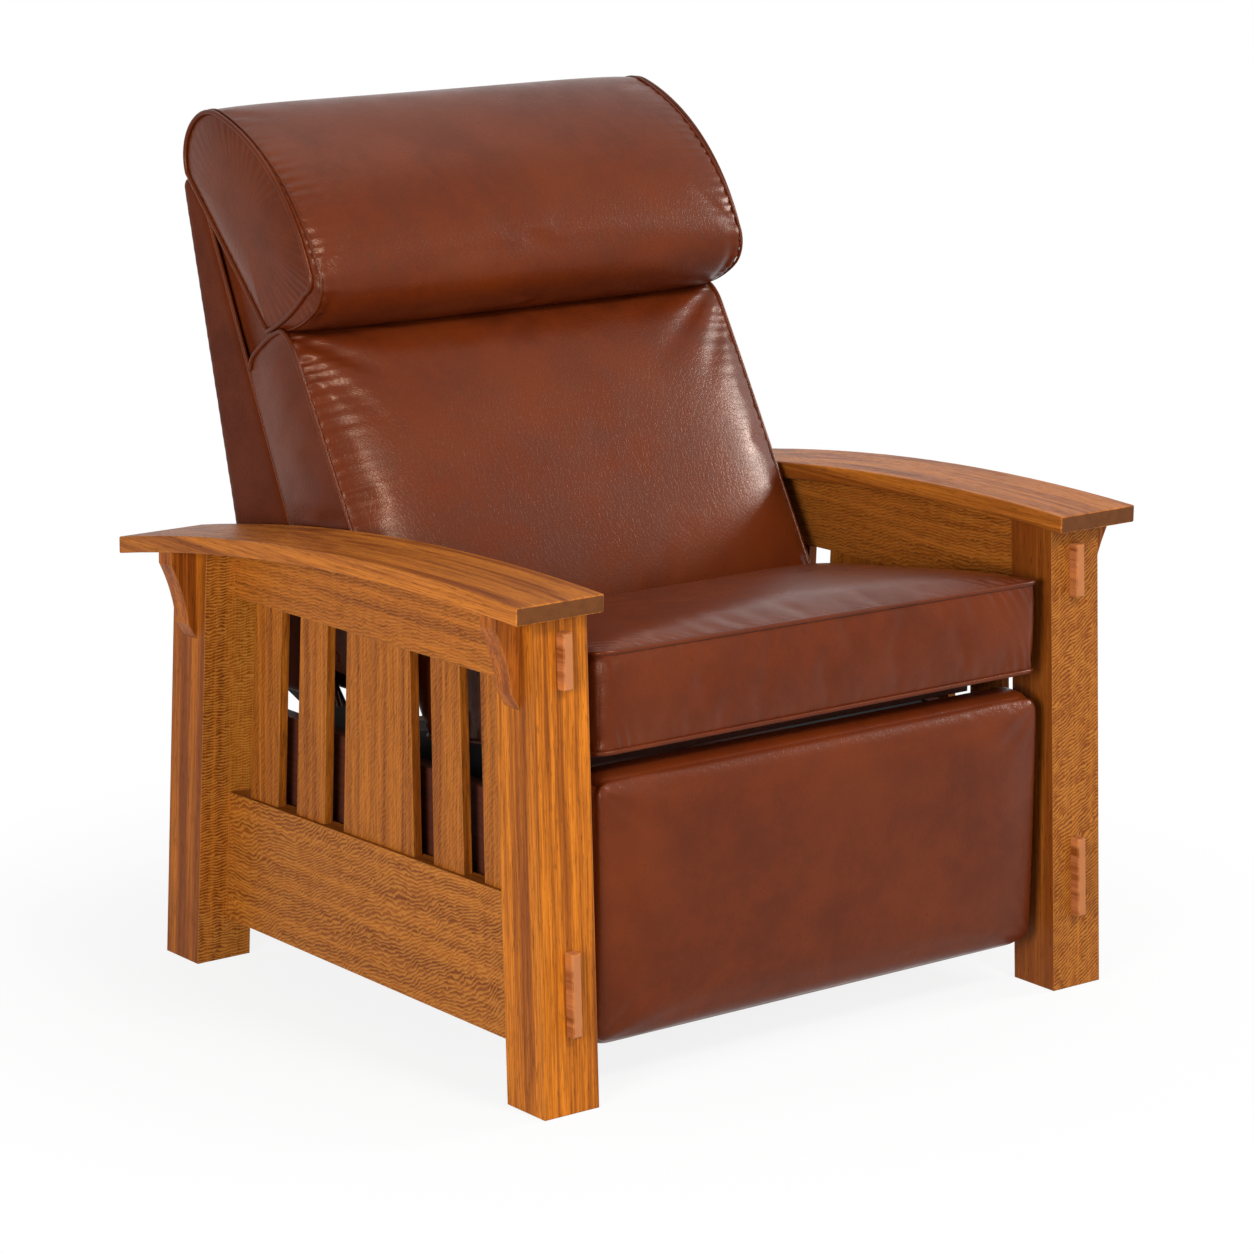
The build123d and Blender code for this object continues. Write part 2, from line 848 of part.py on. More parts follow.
def foot_screws(radius, front, length, mode=Mode.ADD):
    """Screws or screw holes through the bracket flanges, on the right-hand side."""
    with BuildSketch(front_at(front)) as outline:
        with Locations(*[(foot_screw_x, z) for z in foot_screw_places]):
            Circle(radius)
    extrude(outline.sketch, amount=-length, mode=mode)


with BuildPart() as footrest_brackets:
    slab(
        [
            (footrest_rear, flange_foot),
            (flange_rear, flange_foot),
            (guide_wrist[0], guide_wrist[1] - guide_eye),
            guide_wrist,
            wrist,
            (wrist[0], wrist[1] + link_eye),
            (flange_rear, flange_top),
            (footrest_rear, flange_top),
        ],
        foot_bracket_inner,
        steel,
    )
    disc(*wrist, foot_bracket_inner, steel, link_eye)
    disc(*guide_wrist, foot_bracket_inner, steel, guide_eye)
    slab(
        [
            (footrest_rear, flange_foot),
            (flange_rear, flange_foot),
            (flange_rear, flange_top),
            (footrest_rear, flange_top),
        ],
        foot_bracket_inner - bracket_flange,
        bracket_flange,
    )
    disc(*wrist, foot_bracket_inner, steel, link_pin_radius, Mode.SUBTRACT)
    disc(*guide_wrist, foot_bracket_inner, steel, guide_pin_radius, Mode.SUBTRACT)
    foot_screws(foot_screw_radius, footrest_rear, bracket_flange_thickness, Mode.SUBTRACT)
    mirror(about=Plane.YZ)
save(footrest_brackets, "footrest_brackets")

with BuildPart() as wrist_pins:
    disc(*wrist, foot_bracket_inner, reach_inner + steel - foot_bracket_inner, link_pin_radius)
    disc(*guide_wrist, foot_bracket_inner, guide_inner + steel - foot_bracket_inner, guide_pin_radius)
    mirror(about=Plane.YZ)
save(wrist_pins, "wrist_pins")

# Footrest board, sunk in the back of the footrest cushion
board_front = footrest_rear - footrest_board_thickness
board_half_width = footrest_half_width - footrest_board_margin
board_foot = footrest_foot + footrest_board_margin
board_top = footrest_top - footrest_board_margin
footrest_board_outline = [
    (board_front, board_foot),
    (footrest_rear, board_foot),
    (footrest_rear, board_top),
    (board_front, board_top),
]
with BuildPart() as footrest_board:
    across(footrest_board_outline, board_half_width)
    foot_screws(foot_screw_radius, board_front, footrest_board_thickness, Mode.SUBTRACT)
    mirror(about=Plane.YZ, mode=Mode.INTERSECT)
save(footrest_board, "footrest_board")

with BuildPart() as footrest_screws:
    foot_screws(foot_screw_radius, board_front, flange_rear - board_front)
    foot_screws(foot_screw_head, flange_rear, screw_head_thickness)
    mirror(about=Plane.YZ)
save(footrest_screws, "footrest_screws")


def stations(half_width, seam_share=0.0):
    """Pairs of x and share of the full swelling, from the left seam to the right seam."""
    places = []
    for step in range(-swell_steps, swell_steps + 1):
        share = math.sin(math.pi * half * step / swell_steps)
        rise = math.sqrt(max(1 - abs(share) ** swell_power, 0))
        places.append((share * half_width, seam_share + (1 - seam_share) * rise))
    return places


def bowed(start, end, rise):
    """The middle of an arc from start to end that stands to the left of the line by rise."""
    length = math.hypot(end[0] - start[0], end[1] - start[1])
    return (
        (start[0] + end[0]) * half - rise * (end[1] - start[1]) / length,
        (start[1] + end[1]) * half + rise * (end[0] - start[0]) / length,
    )


# Footrest cushion: crowned in front and rounded at its edges
with BuildPart() as footrest_cushion:
    turn = footrest_round * (1 - math.sqrt(half))
    low = footrest_foot + footrest_round
    high = footrest_top - footrest_round
    shoulder = footrest_front + footrest_round
    for x, swell in stations(footrest_half_width, swell_at_seam_share):
        middle = (footrest_front - footrest_crown * swell, (low + high) * half)
        low_turn = (footrest_front + turn, footrest_foot + turn)
        high_turn = (footrest_front + turn, footrest_top - turn)
        with BuildSketch(side_at(x)):
            with BuildLine():
                Polyline(
                    (shoulder, footrest_foot),
                    (footrest_rear, footrest_foot),
                    (footrest_rear, footrest_top),
                    (shoulder, footrest_top),
                )
                ThreePointArc((shoulder, footrest_top), high_turn, (footrest_front, high))
                ThreePointArc((footrest_front, high), middle, (footrest_front, low))
                ThreePointArc((footrest_front, low), low_turn, (shoulder, footrest_foot))
            make_face()
    loft()
    across(footrest_board_outline, board_half_width, Mode.SUBTRACT)
save(footrest_cushion, "footrest_cushion")


# Seat frame: its top and foot follow the seat's slope
def seat_rail_outline(front, rear):
    return [
        (front, seat_foot(front) - seat_rail_depth),
        (rear, seat_foot(rear) - seat_rail_depth),
        (rear, seat_foot(rear)),
        (front, seat_foot(front)),
    ]


# Sinuous springs between the front and rear rails
spring_front = seat_frame_front + seat_rail_width
spring_rear = seat_frame_rear - seat_rail_width
spring_reach = (spring_rear - spring_front) * math.hypot(1, seat_slope_share)
spring_rows = int((spring_reach - spring_lead / half) / (spring_turn_radius / half))
spring_pitch = (spring_reach - spring_lead / half) / spring_rows


def spring_path(x):
    """Runs from side to side joined by half turns, with both ends led into the rails."""
    plane = Plane(
        origin=(x, spring_front - middle_y, seat_foot(spring_front) - spring_drop),
        x_dir=(1, 0, 0),
        z_dir=(0, seat_slope_share, 1),
    )
    reach = spring_run * half
    wide = reach + spring_bend
    last = 1 if spring_rows % 2 else -1
    end = spring_reach - spring_lead
    with BuildLine(plane) as path:
        Line((-wide, -spring_hole), (-wide, spring_lead - spring_bend))
        RadiusArc((-wide, spring_lead - spring_bend), (-reach, spring_lead), spring_bend)
        for row in range(spring_rows + 1):
            side = -1 if row % 2 else 1
            y = spring_lead + row * spring_pitch
            Line((-side * reach, y), (side * reach, y))
            if row < spring_rows:
                bulge = (side * (reach + spring_pitch * half), y + spring_pitch * half)
                ThreePointArc((side * reach, y), bulge, (side * reach, y + spring_pitch))
        RadiusArc((-last * reach, end), (-last * wide, end + spring_bend), -last * spring_bend)
        Line((-last * wide, end + spring_bend), (-last * wide, spring_reach + spring_hole))
    return path.wires()[0]


seat_inner = seat_frame_half_width - seat_rail_width
spring_spacing = (seat_inner - spring_margin) / ((spring_count - 1) * half)
spring_paths = [
    spring_path((index - (spring_count - 1) * half) * spring_spacing) for index in range(spring_count)
]


def spring_holes():
    """The holes that hold the springs' ends."""
    for path in spring_paths:
        for place, inward in ((path @ 0, path % 0), (path @ 1, (path % 1) * -1)):
            with BuildSketch(Plane(origin=place, z_dir=inward)) as hole:
                Circle(spring_wire_radius)
            extrude(hole.sketch, amount=spring_hole + spring_wire_radius, mode=Mode.SUBTRACT)


with BuildPart() as seat_side_rail:
    slab(seat_rail_outline(seat_frame_front, seat_frame_rear), seat_inner, seat_rail_width)
save_pair(seat_side_rail, "seat_side_rail")

with BuildPart() as seat_front_rail:
    across(seat_rail_outline(seat_frame_front, spring_front), seat_inner)
    spring_holes()
save(seat_front_rail, "seat_front_rail")

with BuildPart() as seat_rear_rail:
    across(seat_rail_outline(spring_rear, seat_frame_rear), seat_inner)
    spring_holes()
save(seat_rear_rail, "seat_rear_rail")

with BuildPart() as seat_springs:
    for path in spring_paths:
        with BuildSketch(Plane(origin=path @ 0, z_dir=path % 0)) as wire:
            Circle(spring_wire_radius)
        sweep(wire.sketch, path=path)
save(seat_springs, "seat_springs")

# Seat cushion: crowned on top, swelling in front, its rear against the lumbar cushion
seat_rear_foot_z = seat_foot(lumbar_front_at_seat)
seat_rear_top_z = seat_rear_foot_z + seat_thickness
with BuildPart() as seat_cushion:
    for x, swell in stations(seat_half_width, swell_at_seam_share):
        rear_foot_y = lumbar_front(seat_rear_foot_z) - seat_set_forward
        rear_foot = (rear_foot_y, seat_foot(rear_foot_y))
        rear_top = (lumbar_front(seat_rear_top_z) - seat_set_forward, seat_rear_top_z)
        front_top = (seat_front, seat_front_foot + seat_thickness)
        front_foot = (seat_front, seat_front_foot)
        with BuildSketch(side_at(x)):
            with BuildLine():
                Polyline(front_foot, rear_foot, rear_top)
                ThreePointArc(rear_top, bowed(front_top, rear_top, seat_crown * swell), front_top)
                ThreePointArc(front_top, bowed(front_foot, front_top, seat_front_swell * swell), front_foot)
            make_face()
    loft()
save(seat_cushion, "seat_cushion")

# Runners: steel plates beside the seat frame that carry the shoes and the back pivots
back_pivot = (back_pivot_y, back_pivot_z)
runner_front = track_front + shoe_margin - runner_lead
runner_rear = track_front + track_length
runner_foot = track_foot + track_wall
with BuildPart() as seat_runner:
    slab(
        [
            (runner_front, runner_foot),
            (runner_rear, runner_foot),
            (back_pivot_y, back_pivot_z - back_eye),
            (back_pivot_y, back_pivot_z + back_eye),
            (seat_frame_rear, seat_foot(seat_frame_rear)),
            (runner_front, seat_foot(runner_front)),
        ],
        runner_inner,
        steel,
    )
    disc(*back_pivot, runner_inner, steel, back_eye)
    disc(*back_pivot, runner_inner, steel, back_pin_radius, Mode.SUBTRACT)
save_pair(seat_runner, "seat_runner")

shoe_foot = track_foot + track_wall + running_gap
shoe_top = track_foot + track_height - track_wall - running_gap
shoe_inner = runner_inner + steel
shoe_outer = base_inner - track_wall - running_gap
with BuildPart() as glide_shoes:
    for shoe_front in (track_front + shoe_margin, track_front + track_length - shoe_margin * half - shoe_length):
        beam(
            [(shoe_inner, shoe_foot), (shoe_outer, shoe_foot), (shoe_outer, shoe_top), (shoe_inner, shoe_top)],
            shoe_front,
            shoe_length,
        )
    mirror(about=Plane.YZ)
save(glide_shoes, "glide_shoes")

with BuildPart() as back_pins:
    disc(*back_pivot, runner_inner, back_bracket_inner + steel - runner_inner, back_pin_radius)
    disc(*back_pivot, back_bracket_inner + steel, screw_head_thickness, back_pin_radius + screw_head_thickness)
    mirror(about=Plane.YZ)
save(back_pins, "back_pins")

# Back frame
with BuildPart() as back_stile:
    slab(
        [
            (stile_front(stile_foot), stile_foot),
            (stile_back(stile_foot), stile_foot),
            (stile_back(stile_top), stile_top),
            (stile_front(stile_top), stile_top),
        ],
        stile_inner,
        stile_thickness,
    )
save_pair(back_stile, "back_stile")


def back_rail_outline(foot):
    top = foot + back_rail_height
    depth = back_rail_thickness * shell_slant
    return [
        (stile_back(foot) - depth, foot),
        (stile_back(foot), foot),
        (stile_back(top), top),
        (stile_back(top) - depth, top),
    ]


back_rail_step = (stile_top - stile_foot - back_rail_height) * half
for index, name in enumerate(("back_foot_rail", "back_middle_rail", "back_top_rail")):
    with BuildPart() as back_rail:
        across(back_rail_outline(stile_foot + index * back_rail_step), stile_inner)
    save(back_rail, name)

# Back brackets: from the pivots up the outer faces of the stiles
bracket_top = stile_foot + bracket_height
with BuildPart() as back_bracket:
    slab(
        [
            (back_pivot_y, back_pivot_z - back_eye),
            (stile_back(stile_foot), stile_foot),
            (stile_back(bracket_top), bracket_top),
            (stile_front(bracket_top), bracket_top),
            (back_pivot_y, back_pivot_z + back_eye),
        ],
        back_bracket_inner,
        steel,
    )
    disc(*back_pivot, back_bracket_inner, steel, back_eye)
    disc(*back_pivot, back_bracket_inner, steel, back_pin_radius + back_pin_fit, Mode.SUBTRACT)
save_pair(back_bracket, "back_bracket")


# The back of the head roll leans at 45 degrees: y is z less this
shell_shoulder = shell_top + shell_top_round
roll_set_back = shell_shoulder - (shell_rear(shell_top) - shell_top_ledge)
roll_nose_y = roll_tip_z - roll_set_back - roll_tip_share * roll_depth


def roll_point(share):
    """A place on the end of the head roll."""
    return (roll_nose_y + share[0] * roll_depth, roll_tip_z + share[1] * roll_height)


roll_tip = roll_point((roll_tip_share, 0))
roll_heel_z = roll_tip_z + roll_heel_rise_share * roll_height
roll_heel = (roll_heel_z - roll_set_back, roll_heel_z)


def roll_back(z):
    """The back of the head roll, which leans at 45 degrees."""
    return z - roll_set_back


# Where the shell's front edge passes behind the roll
shell_front_lean = (shell_front(shell_top) - shell_front(shell_foot)) / (shell_top - shell_foot)
shell_meets_roll = (shell_front(0) + roll_set_back) / (1 - shell_front_lean)

# Inner back: the padded panel that the cushions rest against
inner_back_top = (stile_front(0) + roll_set_back) / (1 - shell_rear_lean_share)
lumbar_rear_z = lumbar_top - lumbar_drop
with BuildPart() as inner_back:
    across(
        [
            (shell_front(inner_back_foot), inner_back_foot),
            (stile_front(inner_back_foot), inner_back_foot),
            (stile_front(inner_back_top), inner_back_top),
            (roll_back(roll_tip_z + inner_back_tip), roll_tip_z + inner_back_tip),
            (shell_front(lumbar_rear_z + inner_back_shoulder), lumbar_rear_z + inner_back_shoulder),
        ],
        back_bracket_inner,
    )
save(inner_back, "inner_back")

# Back shell: a rear panel and two sides, open in front and below
with BuildPart() as back_shell:
    with BuildSketch(side_at(-shell_half_width)):
        with BuildLine():
            Polyline(
                (shell_front(shell_foot), shell_foot),
                (shell_front(shell_meets_roll), shell_meets_roll),
                (roll_back(shell_shoulder), shell_shoulder),
                (shell_rear(shell_top) - shell_top_round, shell_shoulder),
            )
            RadiusArc(
                (shell_rear(shell_top) - shell_top_round, shell_shoulder),
                (shell_rear(shell_top), shell_top),
                shell_top_round,
            )
            Polyline(
                (shell_rear(shell_top), shell_top),
                (shell_rear(shell_foot + shell_foot_round), shell_foot + shell_foot_round),
                (shell_rear(shell_foot) - shell_foot_round, shell_foot),
                (shell_front(shell_foot), shell_foot),
            )
        make_face()
    extrude(amount=shell_half_width / half)
    across(
        [
            (shell_front(shell_foot) - overrun, shell_foot - overrun),
            (stile_back(shell_foot - overrun), shell_foot - overrun),
            (stile_back(shell_top - shell_wall), shell_top - shell_wall),
            (roll_back(shell_top - shell_wall) - overrun, shell_top - shell_wall),
        ],
        shell_half_width - shell_wall,
        Mode.SUBTRACT,
    )
save(back_shell, "back_shell")

# Lumbar cushion: crowned between its welts, its rear against the shell's front edges
with BuildPart() as lumbar_cushion:
    for x, swell in stations(shell_half_width, swell_at_seam_share):
        front_foot = (lumbar_front(lumbar_foot), lumbar_foot)
        rear_foot = (shell_front(lumbar_foot), lumbar_foot)
        rear_top = (shell_front(lumbar_rear_z), lumbar_rear_z)
        front_top = (lumbar_front(lumbar_top), lumbar_top)
        with BuildSketch(side_at(x)):
            with BuildLine():
                Polyline(front_foot, rear_foot, rear_top)
                ThreePointArc(rear_top, bowed(front_top, rear_top, lumbar_shoulder), front_top)
                ThreePointArc(front_top, bowed(front_foot, front_top, lumbar_crown * swell), front_foot)
            make_face()
    loft()
save(lumbar_cushion, "lumbar_cushion")

# Head roll: its back leans at 45 degrees on the inner back and the shell
with BuildPart() as head_roll:
    for x, swell in stations(shell_half_width):
        grow = roll_crown * swell
        swollen = roll_nose_swell * swell
        sag = roll_sag * swell
        nape = Vector(*roll_point(roll_nape_share)) + Vector(grow * half, grow * half)
        summit = Vector(*roll_point(roll_summit_share)) + Vector(0, grow)
        brow = Vector(*roll_point(roll_brow_share)) + Vector(-grow, grow * half)
        nose = Vector(*roll_point(roll_nose_share)) + Vector(-swollen, 0)
        nose_middle = Vector(*roll_point(roll_nose_mid_share)) + Vector(-swollen, -sag * half)
        chin = Vector(*roll_point(roll_chin_share)) + Vector(-swollen * half, -sag)
        with BuildSketch(side_at(x)):
            with BuildLine():
                Polyline(chin, roll_tip, roll_heel)
                ThreePointArc(roll_heel, nape, summit)
                ThreePointArc(summit, brow, nose)
                ThreePointArc(nose, nose_middle, chin)
            make_face()
    loft()
save(head_roll, "head_roll")

print("origin is", round(middle_y, 2), "behind the front feet")
for name, place in (("elbow", elbow), ("wrist", wrist), ("guide elbow", guide_elbow), ("guide wrist", guide_wrist)):
    print(name, round(place[0] - middle_y, 3), round(place[1], 3))
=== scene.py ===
"""Dresses the mission reclining armchair: leather upholstery, welts, stained oak, and the finishes of
its mechanism."""

import json
import math

import bpy
import numpy as np
from mathutils import Matrix, Vector, noise


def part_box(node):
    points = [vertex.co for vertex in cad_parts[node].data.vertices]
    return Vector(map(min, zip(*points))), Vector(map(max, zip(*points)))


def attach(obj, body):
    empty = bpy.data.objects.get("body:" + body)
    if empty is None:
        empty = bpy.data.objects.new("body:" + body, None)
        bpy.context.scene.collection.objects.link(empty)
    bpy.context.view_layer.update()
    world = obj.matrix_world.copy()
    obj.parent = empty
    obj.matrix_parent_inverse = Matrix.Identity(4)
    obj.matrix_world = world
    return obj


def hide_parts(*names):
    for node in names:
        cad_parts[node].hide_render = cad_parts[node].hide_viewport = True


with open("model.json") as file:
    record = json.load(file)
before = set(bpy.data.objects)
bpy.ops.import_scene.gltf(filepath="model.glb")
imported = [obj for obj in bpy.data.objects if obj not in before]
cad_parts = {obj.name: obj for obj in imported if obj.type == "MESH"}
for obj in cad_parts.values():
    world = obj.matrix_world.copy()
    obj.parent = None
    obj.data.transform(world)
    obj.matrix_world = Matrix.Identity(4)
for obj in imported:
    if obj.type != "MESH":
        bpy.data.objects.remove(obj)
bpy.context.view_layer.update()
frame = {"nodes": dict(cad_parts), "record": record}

# Outlines are in millimetres, Y from the front feet and Z from the floor, until placed() moves them into
# the chair's own frame in metres
MM = 0.001
FEET_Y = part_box("front_post_left")[0].y
SIDES = ((-1, "left"), (1, "right"))
EDGE = 0.999                    # a share beyond this is on the outside of a cushion
PIPING = 3.1                    # radius of the piping in the welts

# The shell tapers between these heights, and leans back
SHELL_FOOT, SHELL_TOP = 347, 943
SHELL_FOOT_REAR = 722.53
SHELL_FOOT_DEPTH, SHELL_TOP_DEPTH = 175.69, 42.48
SHELL_LEAN = 0.2695

LUMBAR_LEAN = 0.589             # how far the lumbar cushion's front runs back for each millimetre up
SEAT_FRONT = 30.0


def shell_front(z):
    rear = SHELL_FOOT_REAR + SHELL_LEAN * (z - SHELL_FOOT)
    share = (z - SHELL_FOOT) / (SHELL_TOP - SHELL_FOOT)
    return rear - SHELL_FOOT_DEPTH - share * (SHELL_TOP_DEPTH - SHELL_FOOT_DEPTH)


def rest_plane(z):
    """The plane at 45 degrees on which the head roll rests."""
    return z - 94


def lumbar_front(z):
    """The front of the lumbar cushion without its crown."""
    return 455 + LUMBAR_LEAN * (z - 461)


def seat_rear(z):
    """The rear of the seat cushion, a little in front of the lumbar cushion's front."""
    return lumbar_front(z) - 18


def seat_foot(y):
    """The underside of the seat cushion, which falls towards the rear."""
    return 404 - 0.15 * (y - SEAT_FRONT)


def swell(share, power=4):
    """How far a cushion has swollen, from nothing at its seams to one in the middle."""
    return np.sqrt(np.clip(1 - np.abs(share) ** power, 0, 1))


def placed(points):
    """Millimetres from the front feet to metres in the chair's frame."""
    points = np.asarray(points, float) * MM
    points[:, 1] += FEET_Y
    return points


# Meshes and curves
def linked(name, data):
    """A new object in the scene, for a mesh, a curve, a lamp or a camera."""
    made = bpy.data.objects.new(name, data)
    bpy.context.scene.collection.objects.link(made)
    return made


def new_piece(name, points, faces):
    mesh = bpy.data.meshes.new(name)
    mesh.from_pydata([tuple(p) for p in placed(points)], [], faces)
    mesh.validate()
    mesh.update()
    mesh.shade_smooth()
    return linked(name, mesh)


def box_skin(counts, easing=0.75):
    """The outside of a box from -1 to 1, as points and quads. Easing crowds the rows near the edges."""
    index, points, faces = {}, [], []

    def corner(key):
        if key not in index:
            index[key] = len(points)
            shares = [2 * k / n - 1 for k, n in zip(key, counts)]
            points.append([(1 - easing) * s + easing * math.sin(s * math.pi / 2) for s in shares])
        return index[key]

    for axis in range(3):
        a, b = (axis + 1) % 3, (axis + 2) % 3
        for side in (0, counts[axis]):
            for i in range(counts[a]):
                for j in range(counts[b]):
                    quad = []
                    for di, dj in ((0, 0), (1, 0), (1, 1), (0, 1)):
                        key = [0, 0, 0]
                        key[axis], key[a], key[b] = side, i + di, j + dj
                        quad.append(corner(tuple(key)))
                    faces.append(quad if side else quad[::-1])
    return np.array(points), faces


def eased(points, low, high, radius):
    """Rounds the corners of a box: each point beyond the inner box keeps its reach but on a round."""
    inner = np.clip(points, low + radius, high - radius)
    out = points - inner
    reach = np.abs(out).max(axis=1)
    length = np.linalg.norm(out, axis=1)
    length[length == 0] = 1
    return inner + out / length[:, None] * reach[:, None]


def arc(start, middle, end, count):
    """Evenly spaced points on the circle through three points, without the last."""
    (ax, ay), (bx, by), (cx, cy) = start, middle, end
    twice_area = 2 * (ax * (by - cy) + bx * (cy - ay) + cx * (ay - by))
    a2, b2, c2 = ax * ax + ay * ay, bx * bx + by * by, cx * cx + cy * cy
    hub_x = (a2 * (by - cy) + b2 * (cy - ay) + c2 * (ay - by)) / twice_area
    hub_y = (a2 * (cx - bx) + b2 * (ax - cx) + c2 * (bx - ax)) / twice_area
    turns = [math.atan2(p[1] - hub_y, p[0] - hub_x) for p in (start, middle, end)]
    sweep = (turns[2] - turns[0]) % (2 * math.pi)
    if (turns[1] - turns[0]) % (2 * math.pi) > sweep:
        sweep -= 2 * math.pi
    radius = math.hypot(ax - hub_x, ay - hub_y)
    angles = [turns[0] + sweep * k / count for k in range(count)]
    return [(hub_x + radius * math.cos(t), hub_y + radius * math.sin(t)) for t in angles]


def line(start, end, count):
    """Evenly spaced points on a line, without the last."""
    start, end = np.array(start), np.array(end)
    return [tuple(start + (end - start) * k / count) for k in range(count)]


def welt(name, points, body, closed=False, radius=PIPING):
    """Piping: a cord wrapped in the leather, sewn into a seam."""
    curve = bpy.data.curves.new(name, "CURVE")
    curve.dimensions = "3D"
    curve.bevel_depth = radius * MM
    curve.bevel_resolution = 3
    curve.use_fill_caps = True
    spline = curve.splines.new("POLY")
    places = placed(points)
    spline.points.add(len(places) - 1)
    spline.points.foreach_set("co", np.c_[places, np.ones(len(places))].ravel())
    spline.use_cyclic_u = closed
    piece = linked(name, curve)
    piece.data.materials.append(welt_leather)
    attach(piece, body)


def vertex_values(piece, kind):
    """The places ("co") or the normals ("normal") of a piece's points, a row each."""
    values = np.zeros(len(piece.data.vertices) * 3, np.float32)
    piece.data.vertices.foreach_get(kind, values)
    return values.reshape(-1, 3).astype(float)


def set_points(piece, points):
    piece.data.vertices.foreach_set("co", np.asarray(points, np.float32).ravel())
    piece.data.update()


def pushed(piece, heights):
    """Moves each point out along its normal by its height in millimetres."""
    out = vertex_values(piece, "normal") * (heights * MM)[:, None]
    set_points(piece, vertex_values(piece, "co") + out)


def gathered(piece, distance, along, strength, depth, pitch, reach, seed):
    """Gathers the leather beside a seam into small folds, depth high and pitch apart, that run away from
    it and die out over reach. Along the seam they drift out of step, and come and go."""
    drift_length, drift_turn = pitch * 2.3, 4.4
    wax_length, wax_mean, wax_swing = pitch * 3, 0.5, 1.1
    sewn_down = 5                                # over this distance the seam still holds them flat
    ripple = np.empty(len(along))
    for k, run in enumerate(along):
        drift = noise.noise(Vector((run / drift_length, seed, 0))) * drift_turn
        wax = wax_mean + wax_swing * noise.noise(Vector((run / wax_length, seed + 7, 0)))
        ripple[k] = math.sin(2 * math.pi * run / pitch + drift) * max(wax, 0)
    fade = np.exp(-distance / reach) * np.clip(distance / sewn_down, 0, 1) * strength
    pushed(piece, ripple * fade * depth)


LEATHER_CLOTH = {"quality": 6, "mass": 0.4, "tension_stiffness": 40, "compression_stiffness": 40,
                 "shear_stiffness": 20, "bending_stiffness": 6, "use_pressure": True,
                 "vertex_group_mass": "sewn", "pin_stiffness": 3}
CLOTH_FRAMES = 20


def stuffed(piece, held, cap, pressure, slack=0.0):
    """Lets the filling push the leather out where it isn't held, no further than cap millimetres."""
    start = vertex_values(piece, "co")
    group = piece.vertex_groups.new(name="sewn")
    group.add(np.flatnonzero(held).tolist(), 1.0, "REPLACE")
    cloth = piece.modifiers.new("Cloth", "CLOTH")
    for setting, value in LEATHER_CLOTH.items():
        setattr(cloth.settings, setting, value)
    cloth.settings.uniform_pressure_force = pressure
    cloth.settings.shrink_min = -slack
    cloth.settings.effector_weights.gravity = 0
    cloth.collision_settings.use_collision = False
    cloth.point_cache.frame_start, cloth.point_cache.frame_end = 1, CLOTH_FRAMES
    scene = bpy.context.scene
    for k in range(1, CLOTH_FRAMES + 1):
        scene.frame_set(k)
    settled = piece.evaluated_get(bpy.context.evaluated_depsgraph_get())
    moved = vertex_values(settled, "co") - start
    length = np.maximum(np.linalg.norm(moved, axis=1), 1e-9)
    limit = cap * MM
    scale = limit * np.tanh(length / limit) / length
    piece.modifiers.remove(cloth)
    piece.vertex_groups.remove(group)
    set_points(piece, start + moved * scale[:, None])
    scene.frame_set(1)


def remade(piece):
    """Gives a piece the mesh that its modifiers make of it, and takes them off."""
    made = bpy.data.meshes.new_from_object(piece.evaluated_get(bpy.context.evaluated_depsgraph_get()))
    piece.modifiers.clear()
    before, piece.data = piece.data, made
    bpy.data.meshes.remove(before)
    made.name = piece.name
    return made


def refined(piece, *carried):
    """Subdivides the leather once, and carries rows of values over to the new points."""
    for k, values in enumerate(carried):
        row = piece.data.attributes.new(f"carried_{k}", "FLOAT", "POINT")
        row.data.foreach_set("value", np.asarray(values, np.float32))
    piece.modifiers.new("Subdivision", "SUBSURF").levels = 1
    finer = remade(piece)
    rows = []
    for k in range(len(carried)):
        row = finer.attributes[f"carried_{k}"]
        values = np.zeros(len(finer.vertices), np.float32)
        row.data.foreach_get("value", values)
        rows.append(values.astype(float))
        finer.attributes.remove(row)
    return rows


def upholstered(piece, body, nodes):
    """Finishes a cushion: its leather, and its place in the chair."""
    piece.data.materials.append(leather)
    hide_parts(*nodes)
    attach(piece, body)


# Materials
def colour(code):
    """A colour written as sRGB hex, as the linear values that a shader takes."""
    values = [int(code[k:k + 2], 16) / 255 for k in (1, 3, 5)]
    return [v / 12.92 if v <= 0.04045 else ((v + 0.055) / 1.055) ** 2.4 for v in values] + [1.0]


def per(millimetres):
    """The scale of a pattern that repeats about every so many millimetres."""
    return 1 / (millimetres * MM)


def feed(tree, node, inputs):
    """Links a node's inputs to other nodes, or sets them to constants."""
    for name, value in inputs.items():
        if isinstance(value, bpy.types.NodeSocket):
            tree.links.new(value, node.inputs[name])
        else:
            node.inputs[name].default_value = value


def add(tree, kind, inputs, out=0, **settings):
    """Adds a shader node with its settings and links, and gives the output asked for."""
    made = tree.nodes.new("ShaderNode" + kind)
    for name, value in settings.items():
        setattr(made, name, value)
    feed(tree, made, inputs)
    return made.outputs[out]


def blank(name):
    """A new material with its node tree and its Principled shader."""
    material = bpy.data.materials.new(name)
    material.use_nodes = True
    return material, material.node_tree, material.node_tree.nodes["Principled BSDF"]


# Sockets known by number: those of a range mapping, and those of a mix of two colours. The operands of
# a math node are 0, 1 and 2
VALUE, LOW, HIGH, TO_LOW, TO_HIGH = range(5)
SMOOTH = {"interpolation_type": "SMOOTHSTEP"}
SHARE, UNDER, OVER, MIXED = 0, 6, 7, 2
BLEND = {"data_type": "RGBA"}


